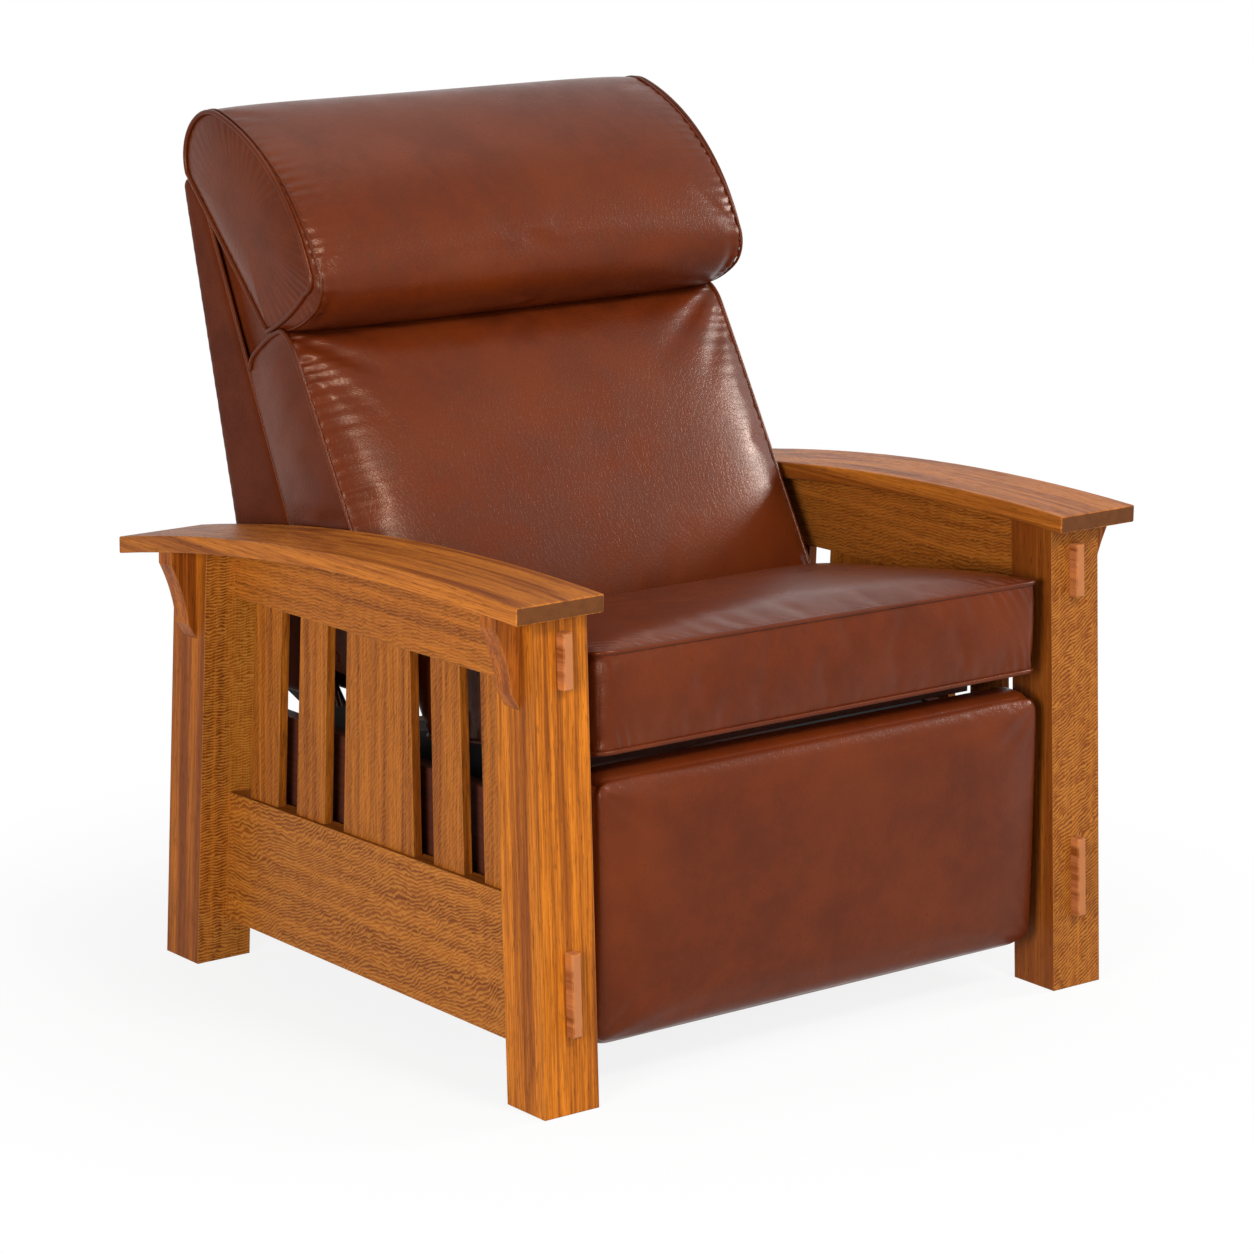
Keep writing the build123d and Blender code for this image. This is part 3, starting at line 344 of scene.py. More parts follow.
def semi_aniline_leather(name, dark, middle, light, rough, shine_level=0.22):
    """Semi-aniline cowhide, drum-dyed and given a thin rubbed finish: cloudy reddish brown, fine pores
    and creases that break up a soft waxy shine, with painted shade darkening the creases."""
    material, tree, shader = blank(name)
    place = add(tree, "TexCoord", {}, "Object")
    clouds = add(tree, "TexNoise", {"Vector": place, "Scale": per(60), "Detail": 6.0, "Roughness": 0.7})
    drifts = add(tree, "TexNoise", {"Vector": place, "Scale": per(200), "Detail": 3.0})
    share = add(tree, "MapRange", {VALUE: clouds, LOW: 0.34, HIGH: 0.68}, **SMOOTH)
    base = add(tree, "Mix", {SHARE: share, UNDER: colour(dark), OVER: colour(middle)}, MIXED, **BLEND)
    share = add(tree, "MapRange", {VALUE: drifts, LOW: 0.42, HIGH: 0.75, TO_HIGH: 0.5}, **SMOOTH)
    base = add(tree, "Mix", {SHARE: share, UNDER: base, OVER: colour(light)}, MIXED, **BLEND)
    # Hair cells about 1.6 mm apart, drawn twice as coarse as on the hide so that they show
    cells = add(tree, "TexVoronoi", {"Vector": place, "Scale": per(1.6)})
    # Creases join into a net some 6 mm wide, bent so that none runs straight
    bent = add(tree, "TexNoise", {"Vector": place, "Scale": per(12), "Detail": 2.0}, "Color")
    net = add(tree, "VectorMath", {0: bent, 1: [6 * MM] * 3}, operation="MULTIPLY")
    net = add(tree, "VectorMath", {0: place, 1: net})
    creases = add(tree, "TexVoronoi", {"Vector": net, "Scale": per(6)}, feature="DISTANCE_TO_EDGE")
    flat = add(tree, "MapRange", {VALUE: creases, LOW: 0.0, HIGH: 0.12}, **SMOOTH)
    # Soft waves where the hide lies loose on the filling
    waves = add(tree, "TexNoise", {"Vector": place, "Scale": per(28), "Detail": 3.0, "Roughness": 0.55})
    height = add(tree, "Math", {0: flat, 1: 0.45}, operation="MULTIPLY")
    height = add(tree, "Math", {0: cells, 1: 0.3, 2: height}, operation="MULTIPLY_ADD")
    height = add(tree, "Math", {0: waves, 1: 1.6, 2: height}, operation="MULTIPLY_ADD")
    # Painted shade in the creases: the leather is darkened towards a deep brown along them
    away_from_creases = add(tree, "Math", {0: flat, 1: 0.1}, operation="MULTIPLY")
    crease_shade = add(tree, "Math", {0: 0.1, 1: away_from_creases}, operation="SUBTRACT")
    base = add(tree, "Mix", {SHARE: crease_shade, UNDER: base, OVER: colour("#3d1405")}, MIXED, **BLEND)
    duller, glossier = rough + 0.05, rough - 0.04
    shine = add(tree, "MapRange", {VALUE: clouds, LOW: 0.3, HIGH: 0.7, TO_LOW: duller, TO_HIGH: glossier},
                **SMOOTH)
    bump = add(tree, "Bump", {"Height": height, "Strength": 0.3, "Distance": 0.5 * MM})
    feed(tree, shader, {"Base Color": base, "Roughness": shine, "Normal": bump, "IOR": 1.5,
                        "Specular IOR Level": shine_level, "Specular Tint": colour("#ffdcc0")})
    return material


def stained_oak(name, grain, tone, shift, lean=0.0, end="#7a4320", streaks=0.5, figure=1.0,
                fleck_face=None, fleck=0.0, ripples=(0, 0, 1), sweep=0.02):
    """Quartersawn white oak, planed, stained amber brown and lacquered satin: straight lines and dark
    pores along the grain, and pale ray flecks that ripple across it on the quartersawn faces."""
    material, tree, shader = blank(name)
    place = add(tree, "TexCoord", {}, "Object")
    place = add(tree, "Mapping", {"Vector": place, "Location": (shift, shift * 0.7, shift * 1.3),
                                  "Rotation": (lean, 0.0, 0.0)})
    # Growth rings 13 mm wide, grain lines, and open pores drawn four times as coarse as in the wood so
    # that they show, all of them drawn out along the board
    drawn_out = []
    for across, length, detail in ((13, 700, 4.0), (1.7, 85, 4.0), (1.4, 22, 2.0)):
        scale = [per(across)] * 3
        scale[grain] = per(length)
        along = add(tree, "Mapping", {"Vector": place, "Scale": scale})
        drawn_out.append(add(tree, "TexNoise", {"Vector": along, "Scale": 1.0, "Detail": detail,
                                                "Roughness": 0.6}))
    rings, lines, pores = drawn_out
    base = colour("#71360c")
    for pattern, low, high, to_low, to_high, code in (
        (rings, 0.32, 0.6, 0.0, 1.0, tone),
        (rings, 0.5, 0.76, 0.0, streaks, "#c0711c"),
        (lines, 0.36, 0.6, 0.55 * figure, 0.0, "#5c2a07"),
        (pores, 0.56, 0.68, 0.0, 0.6 * figure, "#431c04"),
    ):
        share = add(tree, "MapRange", {VALUE: pattern, LOW: low, HIGH: high, TO_LOW: to_low,
                                       TO_HIGH: to_high}, **SMOOTH)
        base = add(tree, "Mix", {SHARE: share, UNDER: base, OVER: colour(code)}, MIXED, **BLEND)

    normal = add(tree, "NewGeometry", {}, "Normal")
    facing = add(tree, "SeparateXYZ", {0: normal}).node.outputs
    if fleck_face is not None:
        # Rays cut through the surface in ripples 3.8 mm apart, bent by the way the tree grew
        bend = add(tree, "TexNoise", {"Vector": place, "Scale": per(160), "Detail": 1.0})
        waver = add(tree, "TexNoise", {"Vector": place, "Scale": per(18), "Detail": 2.0})
        run = add(tree, "VectorMath", {0: place, 1: ripples}, "Value", operation="DOT_PRODUCT")
        run = add(tree, "Math", {0: bend, 1: sweep, 2: run}, operation="MULTIPLY_ADD")
        run = add(tree, "Math", {0: waver, 1: 11 * MM, 2: run}, operation="MULTIPLY_ADD")
        ripple = add(tree, "Math", {0: run, 1: 2 * math.pi * per(3.8)}, operation="MULTIPLY")
        ripple = add(tree, "Math", {0: ripple}, operation="SINE")
        broken = add(tree, "TexNoise", {"Vector": place, "Scale": per(9), "Detail": 2.0})
        shown = add(tree, "Math", {0: broken, 1: 3.4, 2: ripple}, operation="MULTIPLY_ADD")
        shown = add(tree, "MapRange", {VALUE: shown, LOW: 1.0, HIGH: 2.7, TO_HIGH: fleck}, **SMOOTH)
        square_on = add(tree, "Math", {0: facing[fleck_face]}, operation="ABSOLUTE")
        square_on = add(tree, "MapRange", {VALUE: square_on, LOW: 0.6, HIGH: 0.85}, **SMOOTH)
        share = add(tree, "Math", {0: shown, 1: square_on}, operation="MULTIPLY")
        base = add(tree, "Mix", {SHARE: share, UNDER: base, OVER: colour("#ba7a30")}, MIXED, **BLEND)
    share = add(tree, "Math", {0: facing[grain]}, operation="ABSOLUTE")
    share = add(tree, "MapRange", {VALUE: share, LOW: 0.9, HIGH: 0.97, TO_HIGH: 0.9}, **SMOOTH)
    base = add(tree, "Mix", {SHARE: share, UNDER: base, OVER: colour(end)}, MIXED, **BLEND)
    # Sanding has eased the edges and rubbed the stain thin there; the paler colour along them, where the
    # bevelled normal turns from the true one, is also a painted highlight
    rounded = add(tree, "Bevel", {"Radius": 1.8 * MM}, samples=4)
    share = add(tree, "VectorMath", {0: rounded, 1: normal}, "Value", operation="DOT_PRODUCT")
    share = add(tree, "MapRange", {VALUE: share, LOW: 0.999, HIGH: 0.86, TO_HIGH: 0.5}, **SMOOTH)
    base = add(tree, "Mix", {SHARE: share, UNDER: base, OVER: colour("#c08038")}, MIXED, **BLEND)
    shine = add(tree, "MapRange", {VALUE: pores, LOW: 0.4, HIGH: 0.7, TO_LOW: 0.4, TO_HIGH: 0.56}, **SMOOTH)
    height = add(tree, "Math", {0: lines, 1: pores}, operation="SUBTRACT")
    bump = add(tree, "Bump", {"Height": height, "Strength": 0.22, "Distance": 0.3 * MM, "Normal": rounded})
    feed(tree, shader, {"Base Color": base, "Roughness": shine, "Normal": bump, "IOR": 1.47,
                        "Specular IOR Level": 0.16, "Specular Tint": colour("#ffe2c8")})
    return material


def sawn_wood(name, dark, light, grain):
    """Poplar or maple of the hidden frames, sawn and sanded but not polished: a dull face with faint
    grain lines along the board."""
    material, tree, shader = blank(name)
    place = add(tree, "TexCoord", {}, "Object")
    scale = [per(6)] * 3
    scale[grain] = per(200)
    along = add(tree, "Mapping", {"Vector": place, "Scale": scale})
    rings = add(tree, "TexNoise", {"Vector": along, "Scale": 1.0, "Detail": 4.0, "Roughness": 0.6})
    share = add(tree, "MapRange", {VALUE: rings, LOW: 0.3, HIGH: 0.7})
    base = add(tree, "Mix", {SHARE: share, UNDER: colour(dark), OVER: colour(light)}, MIXED, **BLEND)
    shine = add(tree, "MapRange", {VALUE: rings, LOW: 0.2, HIGH: 0.8, TO_LOW: 0.64, TO_HIGH: 0.5})
    bump = add(tree, "Bump", {"Height": rings, "Strength": 0.2, "Distance": 0.4 * MM})
    feed(tree, shader, {"Base Color": base, "Roughness": shine, "Normal": bump})
    return material


def hardware(name, dark, light, rough, metallic, speck):
    """Steel that is painted, oiled or zinc plated, or moulded nylon: fine specks, as large as speck in
    millimetres, vary its colour and shine."""
    material, tree, shader = blank(name)
    place = add(tree, "TexCoord", {}, "Object")
    specks = add(tree, "TexNoise", {"Vector": place, "Scale": per(speck), "Detail": 3.0})
    base = add(tree, "Mix", {SHARE: specks, UNDER: colour(dark), OVER: colour(light)}, MIXED, **BLEND)
    glossier, duller = rough - 0.08, rough + 0.08
    shine = add(tree, "MapRange", {VALUE: specks, LOW: 0.3, HIGH: 0.7, TO_LOW: glossier, TO_HIGH: duller})
    bump = add(tree, "Bump", {"Height": specks, "Strength": 0.1, "Distance": 0.2 * MM})
    feed(tree, shader, {"Base Color": base, "Roughness": shine, "Normal": bump, "Metallic": metallic})
    return material


def dress(node_name, material):
    node = frame["nodes"][node_name]
    node.data.materials.clear()
    node.data.materials.append(material)


leather = semi_aniline_leather("Semi_aniline_leather", "#4c1b07", "#582109", "#652a0c", 0.31)
welt_leather = semi_aniline_leather("Welt_leather", "#481906", "#541f08", "#61280b", 0.3)
cover_leather = semi_aniline_leather("Back_cover_leather", "#461805", "#521e06", "#5d2508", 0.46, 0.08)

# The grain runs along this axis, and the splayed posts lean by this angle
ACROSS, DEEP, UP = range(3)
SPLAY = math.atan(0.0566)
oak = {
    "front_post_left": stained_oak("Oak_post_plain_face", UP, "#bb6a18", 0.31, SPLAY, streaks=0.8),
    "front_post_right": stained_oak("Oak_post_flecked", UP, "#763c11", 1.17, SPLAY, streaks=0.4,
                                    fleck_face=DEEP, fleck=0.52, ripples=(-0.5, 0.0, 0.8), sweep=0.03),
    "rear_post_left": stained_oak("Oak_rear_post", UP, "#a05816", 2.23, -SPLAY, fleck_face=DEEP,
                                  fleck=0.75),
    "rear_post_right": stained_oak("Oak_rear_post_right", UP, "#a05816", 5.1, -SPLAY, fleck_face=DEEP,
                                   fleck=0.75, sweep=0.03),
    "lower_rail": stained_oak("Oak_lower_rail", DEEP, "#96541a", 3.41, streaks=0.2, fleck_face=ACROSS,
                              fleck=0.5, ripples=(0.0, 0.3, 0.8), sweep=0.07),
    "upper_rail": stained_oak("Oak_upper_rail", DEEP, "#9b5519", 4.07, streaks=0.25, fleck_face=ACROSS,
                              fleck=0.32, ripples=(0.0, 0.12, 0.9), sweep=0.03),
    "side_slats": stained_oak("Oak_slats", UP, "#a05a19", 5.53, streaks=0.3, fleck_face=ACROSS,
                              fleck=0.18, ripples=(0.0, 0.6, 0.4), sweep=0.03),
    "arm": stained_oak("Oak_arm", DEEP, "#ac6423", 6.29, end="#4e2c15", streaks=0.4, figure=0.8),
    "front_corbel": stained_oak("Oak_corbel", UP, "#9a5118", 7.7, end="#8a4a1d"),
    "rear_corbel": stained_oak("Oak_rear_corbel", UP, "#9a5118", 9.6, end="#8a4a1d"),
    "tenon_ends": stained_oak("Oak_tenon_ends", DEEP, "#a26038", 8.2, end="#a0653e", figure=0.35),
}
by_slot = {
    "base_wood": sawn_wood("Stained_poplar", "#38150a", "#54220f", DEEP),
    "frame_wood": sawn_wood("Sawn_maple", "#a8895c", "#c9ae80", ACROSS),
    "mechanism_steel": hardware("Black_painted_steel", "#141416", "#1e1e21", 0.45, 0.0, speck=1.5),
    "spring_steel": hardware("Oiled_spring_steel", "#4a4b4e", "#6a6b6e", 0.38, 1.0, speck=3.0),
    "zinc_screws": hardware("Zinc_plated_steel", "#a6a8a4", "#c3c4be", 0.32, 1.0, speck=0.8),
    "nylon": hardware("Moulded_nylon", "#d5d2c6", "#e0ddd2", 0.42, 0.0, speck=2.0),
    "leather": leather,
}
for part in frame["record"]["subparts"]:
    finish = next((oak[start] for start in oak if part["node"].startswith(start)), None)
    dress(part["node"], finish or by_slot.get(part["material_slot"]))
# The seat's front and side rails show past the cushion and are stained dark
for shown in ("seat_front_rail", "seat_side_rail_left", "seat_side_rail_right"):
    dress(shown, by_slot["base_wood"])
dress("arm_dowels", stained_oak("Oak_dowel", UP, "#a55c22", 9.1))


# Head roll: a bolster with welted end panels, its belly resting on the lumbar cushion
ROLL_HALF = 331.0
ROLL_ROWS = 78                  # rows of faces from end to end
ROLL_ROUND = 830                # length all round its section
CHIN_RUN = 123.0                # how far round the section the chin lies
END_RINGS = 12                  # rings of faces on an end panel
END_REACH = 110.0               # from an end panel's welt to its middle
END_BULGE = 9.0


def roll_outline(share):
    """The section of the head roll at a share of its half width: points all round, from the tip at the
    foot of its rest over chin, nose, brow and nape to the heel at the top of its rest."""
    crown = 7.5 * swell(share)
    belly = swell(share, 60)
    tip, heel = (694, 788), (867, 961)
    keel = (650, 812 - 19 * belly)
    chin = (612.1 - 11 * belly, 844.8 - 27 * belly)
    lip = (600.1 - 14 * belly, 857.7 - 14 * belly)
    nose = (603.4 - 14 * belly, 872.1)
    brow = (689.6 - crown * 1.3, 985.5 + crown * 0.6)
    summit = (800.2, 1040.5 + crown)
    nape = (863.5 + crown * 0.5, 1011.5 + crown * 0.5)
    points = arc(tip, keel, chin, 20) + arc(chin, lip, nose, 8) + arc(nose, brow, summit, 46)
    return points + arc(summit, nape, heel, 20) + line(heel, tip, 44)


def roll_skin():
    """The head roll's points and faces, and for each point how far round the section it lies and how
    far from an end's welt."""
    points, faces, along, distance = [], [], [], []
    count = len(roll_outline(0))
    runs = np.linspace(0, ROLL_ROUND, count)
    for row in range(ROLL_ROWS + 1):
        even = 2 * row / ROLL_ROWS - 1
        share = math.sin(math.pi / 2 * even) * 0.6 + even * 0.4
        for run, (y, z) in zip(runs, roll_outline(share)):
            points.append((share * ROLL_HALF, y, z))
            along.append(run)
            distance.append((1 - abs(share)) * ROLL_HALF)
    for row in range(ROLL_ROWS):
        for k in range(count):
            a, b = row * count + k, row * count + (k + 1) % count
            faces.append((a, a + count, b + count, b))
    for side, first in ((-1, 0), (1, ROLL_ROWS * count)):
        outer = list(range(first, first + count))
        rim = np.array([points[k] for k in outer])
        centre = np.array([rim[0][0], 735.0, 915.0])
        for ring in range(1, END_RINGS):
            scale = 1 - ring / END_RINGS
            bulge = END_BULGE * (1 - scale ** 3.0)
            inner = list(range(len(points), len(points) + count))
            for k in range(count):
                place = centre + (rim[k] - centre) * scale
                place[0] += side * bulge
                points.append(tuple(place))
                along.append(runs[k])
                distance.append((1 - scale) * END_REACH)
            for k in range(count):
                quad = (outer[k], inner[k], inner[(k + 1) % count], outer[(k + 1) % count])
                faces.append(quad if side > 0 else quad[::-1])
            outer = inner
        middle = len(points)
        points.append(tuple(centre + np.array([side * END_BULGE, 0, 0])))
        along.append(0.0)
        distance.append(END_REACH)
        for k in range(count):
            tri = (outer[k], middle, outer[(k + 1) % count])
            faces.append(tri if side > 0 else tri[::-1])
    return np.array(points), faces, along, distance


def head_roll():
    points, faces, along, distance = roll_skin()
    piece = new_piece("head_roll_leather", points, faces)
    on_end = np.abs(points[:, 0]) > ROLL_HALF - 0.1
    at_rest = np.abs(points[:, 1] - rest_plane(points[:, 2])) < 1.0
    stuffed(piece, on_end | at_rest, cap=3.5, pressure=5)
    distance, along, ends = refined(piece, distance, along, on_end)
    # Most folds gather round the end panels, between the brow and the chin
    crowded = 0.35 + 1.1 * np.exp(-((along - 230) / 130) ** 4) * (0.62 - 0.27 * ends)
    gathered(piece, distance, along, crowded, depth=2.1, pitch=15, reach=17, seed=3.0)
    # The filling has drawn back from the seam at the chin and leaves a dent inside the welt
    dent = np.exp(-((distance - 20) / 9) ** 2 - ((along - CHIN_RUN) / 30) ** 2) * (1 - ends)
    pushed(piece, -5 * dent)
    upholstered(piece, "back", ["head_roll"])
    proud, inset = 1.2, 5.6          # the welt stands out at the end, a second thin row runs inside it
    for side, name in SIDES:
        ring = [(side * (ROLL_HALF + proud), y, z) for y, z in roll_outline(1.0)]
        welt(f"head_roll_welt_{name}", ring, "back", closed=True)
        second = [(side * (ROLL_HALF - inset), y, z) for y, z in roll_outline(1 - inset / ROLL_HALF)]
        welt(f"head_roll_second_welt_{name}", second, "back", closed=True, radius=1.9)


head_roll()


# Lumbar cushion: crowned between the side welts, rolled over at its top
LUMBAR_HALF = 331.0
LUMBAR_FOOT, LUMBAR_TOP, LUMBAR_REAR_TOP = 392, 797, 738
LUMBAR_SECTION = np.array([201.0, 80.0])         # half its length and half its depth


def lumbar_place(u, v, w):
    """A place on the lumbar cushion: u across, v from foot to top, w from the shell to the front."""
    flat = np.c_[v * LUMBAR_SECTION[0], w * LUMBAR_SECTION[1]]
    v, w = (eased(flat, -LUMBAR_SECTION, LUMBAR_SECTION, 27.0) / LUMBAR_SECTION).T
    height, depth = (v + 1) / 2, (w + 1) / 2
    front_z = LUMBAR_FOOT + height * (LUMBAR_TOP - LUMBAR_FOOT)
    rear_z = LUMBAR_FOOT + height * (LUMBAR_REAR_TOP - LUMBAR_FOOT)
    front = np.c_[lumbar_front(front_z), front_z]
    rear = np.c_[shell_front(rear_z), rear_z]
    place = rear + (front - rear) * depth[:, None]
    outward = np.array([-1, LUMBAR_LEAN]) / math.hypot(1, LUMBAR_LEAN)
    crown = 28 * (0.06 + 0.94 * swell(u, 5)) * (1 - np.abs(v) ** 3)
    place = place + outward * (crown * depth ** 2)[:, None]
    place[:, 1] += 9 * (1 - w ** 2) * np.clip(v, 0, 1) ** 8
    return np.c_[u * LUMBAR_HALF, place]


def lumbar_cushion():
    unit, faces = box_skin((88, 60, 16))
    u, v, w = unit.T
    points = lumbar_place(u, v, w)
    on_side = np.abs(u) > EDGE
    points[:, 0] += np.sign(u) * 5 * on_side * (1 - w ** 2) * (1 - v ** 4)
    piece = new_piece("lumbar_cushion_leather", points, faces)
    seam = on_side & ((w > EDGE) | (v > EDGE))
    stuffed(piece, seam | (w < -0.5) | (v < -0.97), cap=5, pressure=5, slack=0.002)
    # The sides lie far from every gather
    distance = np.where(on_side, 400.0, (1 - np.abs(u)) * LUMBAR_HALF)
    distance, along, left = refined(piece, distance, v * 232, u < 0)
    # More of them on the left than on the right, and in the upper part
    crowded = (0.35 + 0.9 * np.exp(-((along - 90) / 110) ** 4)) * (0.6 + 0.6 * left)
    gathered(piece, distance, along, crowded, depth=3.4, pitch=15, reach=24, seed=9.0)
    upholstered(piece, "back", ["lumbar_cushion"])
    # Each side welt runs up the front edge and back over the top
    upward, rearward = 90, 26
    v = np.r_[np.linspace(-1, 1, upward), np.ones(rearward)]
    w = np.r_[np.ones(upward), np.linspace(1, -1, rearward)]
    for side, name in SIDES:
        edge = lumbar_place(np.full(len(v), float(side)), v, w)
        edge[:, 0] += side * 0.8
        welt(f"lumbar_cushion_welt_{name}", edge, "back")


lumbar_cushion()


# Seat cushion: a boxed cushion with welts round its top and its foot
SEAT_HALF = 337.0
SEAT_THICK = 111
SEAT_REAR_FOOT = 340.25         # height of its foot at the rear


def seat_place(u, v, w):
    """A place on the seat cushion: u across, v from front to rear, w from foot to top."""
    height = (w + 1) / 2
    foot, top = seat_rear(SEAT_REAR_FOOT), seat_rear(SEAT_REAR_FOOT + SEAT_THICK)
    rear = foot + (top - foot) * height
    x, y = u * SEAT_HALF, SEAT_FRONT + (v + 1) / 2 * (rear - SEAT_FRONT)
    middle, half_depth = (SEAT_FRONT + rear) / 2, (rear - SEAT_FRONT) / 2
    size = np.c_[np.full(len(x), SEAT_HALF), half_depth]
    flat = eased(np.c_[x, y - middle], -size, size, 22.0)
    x, y = flat[:, 0], flat[:, 1] + middle
    # The boxing swells between its two welts, at the front and at both sides
    out = np.where(np.maximum(np.abs(u), np.abs(v)) > EDGE, 1 - w ** 2, 0)
    y = y - 7 * out * (v < -EDGE) * (0.15 + 0.85 * swell(u))
    x = x + np.sign(u) * (4 + 4 * (u > 0)) * out * (np.abs(u) > EDGE) * (1 - v ** 6)
    crown = 16 * swell(u, 5) * swell(v, 5)
    z = seat_foot(y) + SEAT_THICK * height + crown * (w > EDGE)
    # The cushion has settled a little lower on the right than on the left
    z = z + (1 - v) / 2 * height * (4 - 7 * (u + 1) / 2)
    return np.c_[x, y, z]


def seat_cushion():
    unit, faces = box_skin((88, 62, 14))
    u, v, w = unit.T
    points = seat_place(u, v, w)
    piece = new_piece("seat_cushion_leather", points, faces)
    on_boxing = np.maximum(np.abs(u), np.abs(v)) > EDGE
    rim = on_boxing & (np.abs(w) > EDGE)
    stuffed(piece, rim | (w < -EDGE) | (v > EDGE), cap=8, pressure=6, slack=0.004)
    from_side = (1 - np.abs(u)) * SEAT_HALF
    distance = np.where(on_boxing, (1 - np.abs(w)) * 55, np.minimum(from_side, (1 - np.abs(v)) * 215))
    distance, along, corner = refined(piece, distance, points[:, 0] + points[:, 1] + 0.5 * points[:, 2],
                                      np.minimum(from_side, 200))
    gathered(piece, distance, along, 0.3 + 1.3 * np.exp(-corner / 60), depth=2.1, pitch=16, reach=18,
             seed=15.0)
    upholstered(piece, "seat", ["seat_cushion"])
    around = np.linspace(-1, 1, 60)[:-1]
    square = [(s, -1) for s in around] + [(1, s) for s in around]
    square += [(-s, 1) for s in around] + [(-1, -s) for s in around]
    u, v = np.array(square).T
    for level, name in ((-1, "foot"), (1, "top")):
        ring = seat_place(u, v, np.full(len(u), level * 0.9985))
        ring[:, 2] += 0.6 * level
        out = ring[:, :2] - np.array([0, 235])
        ring[:, :2] += out / np.linalg.norm(out, axis=1)[:, None] * 0.8
        welt(f"seat_cushion_welt_{name}", ring, "seat", closed=True)


seat_cushion()


# Footrest: a panel padded in front, its leather drawn round the board. Across, up and deep, in this order
FOOTREST_MIDDLE = np.array([0.0, 216.0, 49.5])
FOOTREST_HALF = np.array([345.0, 161.0, 22.5])


def footrest():
    unit, faces = box_skin((80, 44, 10), 0.6)
    u, v, w = unit.T
    low, high = FOOTREST_MIDDLE - FOOTREST_HALF, FOOTREST_MIDDLE + FOOTREST_HALF
    square = FOOTREST_MIDDLE + np.c_[u, v, -w] * FOOTREST_HALF
    outline = eased(square[:, :2], low[:2], high[:2], 33.0)
    # Only the front edges are rounded, so the box they belong to reaches further back
    rounded = eased(np.c_[outline, square[:, 2]], low, high + (0, 0, 30), 23.0)
    points = rounded[:, [0, 2, 1]]
    points[:, 1] -= 11 * swell(u, 5) * swell(v) * (w > EDGE)
    piece = new_piece("footrest_leather", points, faces)
    stuffed(piece, (w < 0.6) | (np.abs(u) > 0.96), cap=3, pressure=4)
    from_edge = np.minimum((1 - np.abs(u)) * FOOTREST_HALF[0], (1 - np.abs(v)) * FOOTREST_HALF[1])
    distance = np.where(w > 0.9, from_edge, 300.0)
    distance, along = refined(piece, np.abs(distance - 12) + 3, square[:, 0] + square[:, 1])
    gathered(piece, distance, along, 1.0, depth=0.5, pitch=17, reach=9, seed=21.0)
    upholstered(piece, "footrest", ["footrest_cushion"])


footrest()


# Back shell and inner back: boards covered with leather, their edges softened by the padding
def covered_board(node_name, name, voxel, rounds):
    piece = linked(name, frame["nodes"][node_name].data.copy())
    piece.data.materials.clear()
    remesh = piece.modifiers.new("Remesh", "REMESH")
    remesh.mode = "VOXEL"
    remesh.voxel_size = voxel * MM
    smooth = piece.modifiers.new("Smooth", "SMOOTH")
    smooth.iterations = rounds
    smooth.factor = 0.5
    skin = remade(piece)
    skin.shade_smooth()
    skin.materials.append(cover_leather)
    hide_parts(node_name)
    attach(piece, "back")


covered_board("back_shell", "back_shell_leather", 4.0, 14)
covered_board("inner_back", "inner_back_leather", 6.0, 10)


def shell_welt(side, name):
    """The welt up the shell's front edge, and on along its top under the head roll."""
    x = side * 329.5
    slope = (shell_front(SHELL_TOP) - shell_front(SHELL_FOOT)) / (SHELL_TOP - SHELL_FOOT)
    meets = (shell_front(0) - rest_plane(0)) / (1 - slope)
    edge = [(x, shell_front(z) - 1, z) for z in np.linspace(SHELL_FOOT + 2, meets, 60)]
    edge += [(x, rest_plane(z) - 1, z + 0.5) for z in np.linspace(meets + 4, 956, 14)]
    welt(f"back_shell_welt_{name}", edge, "back", radius=2.8)


def lining(side, name):
    """The leather that closes the recess between the shell's side, the inner back and the head roll."""
    unit, faces = box_skin((3, 12, 60), 0)
    u, v, w = unit.T
    foot, top = 728, 934
    z = foot + (w + 1) / 2 * (top - foot)
    front = np.maximum(rest_plane(z) + 3, 738 - 1.37 * (z - 735))
    deep = np.maximum(shell_front(z) + 9 - front, 4)
    hollow = 3 * (1 - v ** 2)
    x = 318.2 + u * 5.0 - hollow * (u + 1) / 2
    points = np.c_[side * x, front + (v + 1) / 2 * deep, z]
    piece = new_piece(f"shell_lining_{name}", points, faces if side > 0 else [f[::-1] for f in faces])
    piece.data.materials.append(leather)
    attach(piece, "back")


for trim in (shell_welt, lining):
    for side, name in SIDES:
        trim(side, name)


# Floor, light and camera, in metres
def seen_rays(tree):
    """One for rays that show the background: from the camera, in a reflection or through glass."""
    path = add(tree, "LightPath", {}).node.outputs
    mirrored = add(tree, "Math", {0: path["Is Camera Ray"], 1: path["Is Glossy Ray"]}, operation="MAXIMUM")
    return add(tree, "Math", {0: mirrored, 1: path["Is Transmission Ray"]}, operation="MAXIMUM")


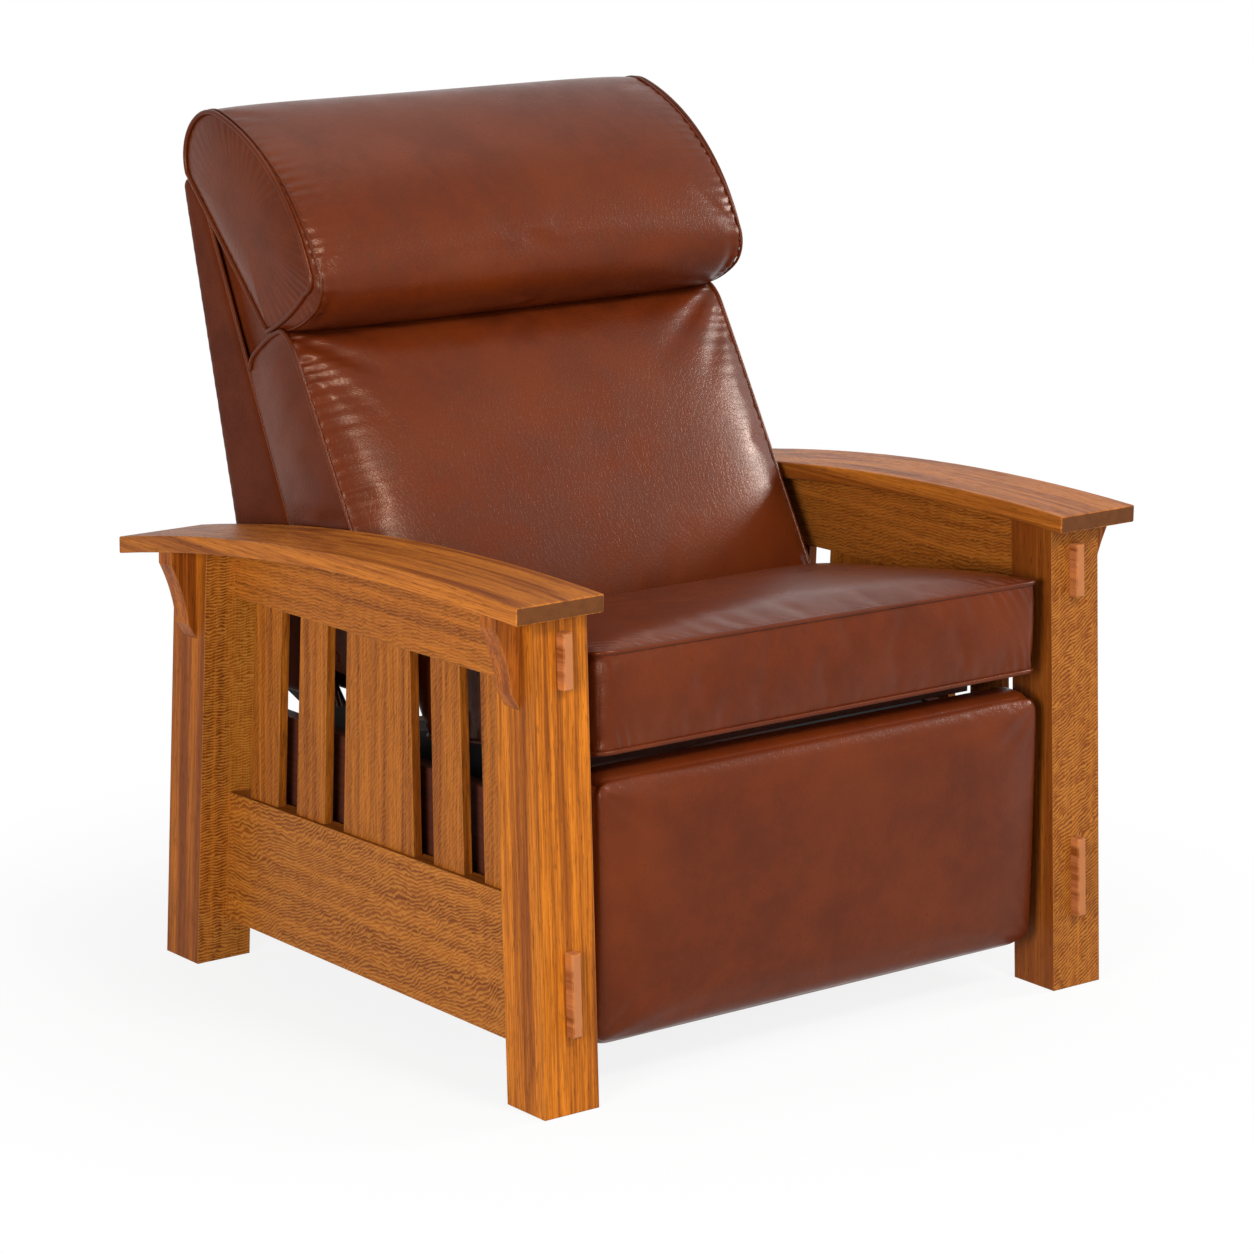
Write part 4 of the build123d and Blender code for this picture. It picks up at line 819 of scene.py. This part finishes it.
def studio():
    bpy.ops.mesh.primitive_plane_add(size=40, location=(0, 0, -0.5 * MM))
    floor = bpy.context.object
    floor.name = "floor"
    # Pale under the chair, where it keeps the shadow, and clear white away from it
    material, tree, shader = blank("Studio_floor")
    feed(tree, shader, {"Base Color": colour("#d2d2d2"), "Roughness": 0.9, "Specular IOR Level": 0.1})
    place = add(tree, "NewGeometry", {}, "Position")
    reach = add(tree, "VectorMath", {0: place}, "Value", operation="LENGTH")
    white = add(tree, "MapRange", {VALUE: reach, LOW: 0.4, HIGH: 1.1, TO_LOW: 0.86, TO_HIGH: 1.0}, **SMOOTH)
    white = add(tree, "Math", {0: white, 1: seen_rays(tree)}, operation="MULTIPLY")
    clear = add(tree, "Emission", {"Color": (1, 1, 1, 1), "Strength": 1.0})
    both = add(tree, "MixShader", {0: white, 1: shader.outputs["BSDF"], 2: clear})
    feed(tree, tree.nodes["Material Output"], {"Surface": both})
    floor.data.materials.append(material)

    world = bpy.data.worlds.new("Studio")
    bpy.context.scene.world = world
    world.use_nodes = True
    tree = world.node_tree
    ambient = 0.17
    strength = add(tree, "Math", {0: seen_rays(tree), 1: 1 - ambient, 2: ambient}, operation="MULTIPLY_ADD")
    feed(tree, tree.nodes["Background"], {"Color": (1, 1, 1, 1), "Strength": strength})

    centre = Vector((0, 0, 0.5))
    for name, direction, reach, size, power in (
        ("Front_softbox", (0.02, -0.75, 0.66), 4.5, 0.9, 125),
        ("Left_softbox", (-0.95, -0.5, 0.2), 4.0, 1.4, 145),
        ("Right_softbox", (0.9, -0.26, 0.38), 4.2, 0.9, 110),
        ("Low_softbox", (0.1, -1.0, 0.25), 4.2, 1.8, 30),
        ("Top_softbox", (0.2, 0.15, 1.0), 3.6, 2.2, 16),
    ):
        lamp = bpy.data.lights.new(name, "AREA")
        lamp.shape = "SQUARE"
        lamp.size = size
        lamp.energy = power
        holder = linked(name, lamp)
        holder.location = centre + Vector(direction).normalized() * reach
        holder.rotation_euler = (centre - holder.location).to_track_quat("-Z", "Y").to_euler()


def camera():
    """Stands far off, left of the front and above the chair, as it did for the photo."""
    yaw, pitch, roll = 0.6723, -0.2364, 0.0119                  # radians
    focal_length, picture_width, sensor = 4483.36, 1254, 36     # pixels, pixels, millimetres
    ahead = Vector((math.sin(yaw) * math.cos(pitch), math.cos(yaw) * math.cos(pitch), math.sin(pitch)))
    right = Vector((math.cos(yaw), -math.sin(yaw), 0))
    up = right.cross(ahead)
    across = right * math.cos(roll) + up * math.sin(roll)
    upright = up * math.cos(roll) - right * math.sin(roll)
    lens = bpy.data.cameras.new("Camera")
    lens.sensor_width = sensor
    lens.lens = sensor * focal_length / picture_width
    lens.clip_end = 100
    holder = linked("Camera", lens)
    turn = Matrix((across, upright, -ahead)).transposed()
    holder.matrix_world = Matrix.Translation((-3.3264, -4.2116, 1.7167)) @ turn.to_4x4()
    bpy.context.scene.camera = holder


studio()
camera()
bpy.context.scene.view_settings.view_transform = "Standard"
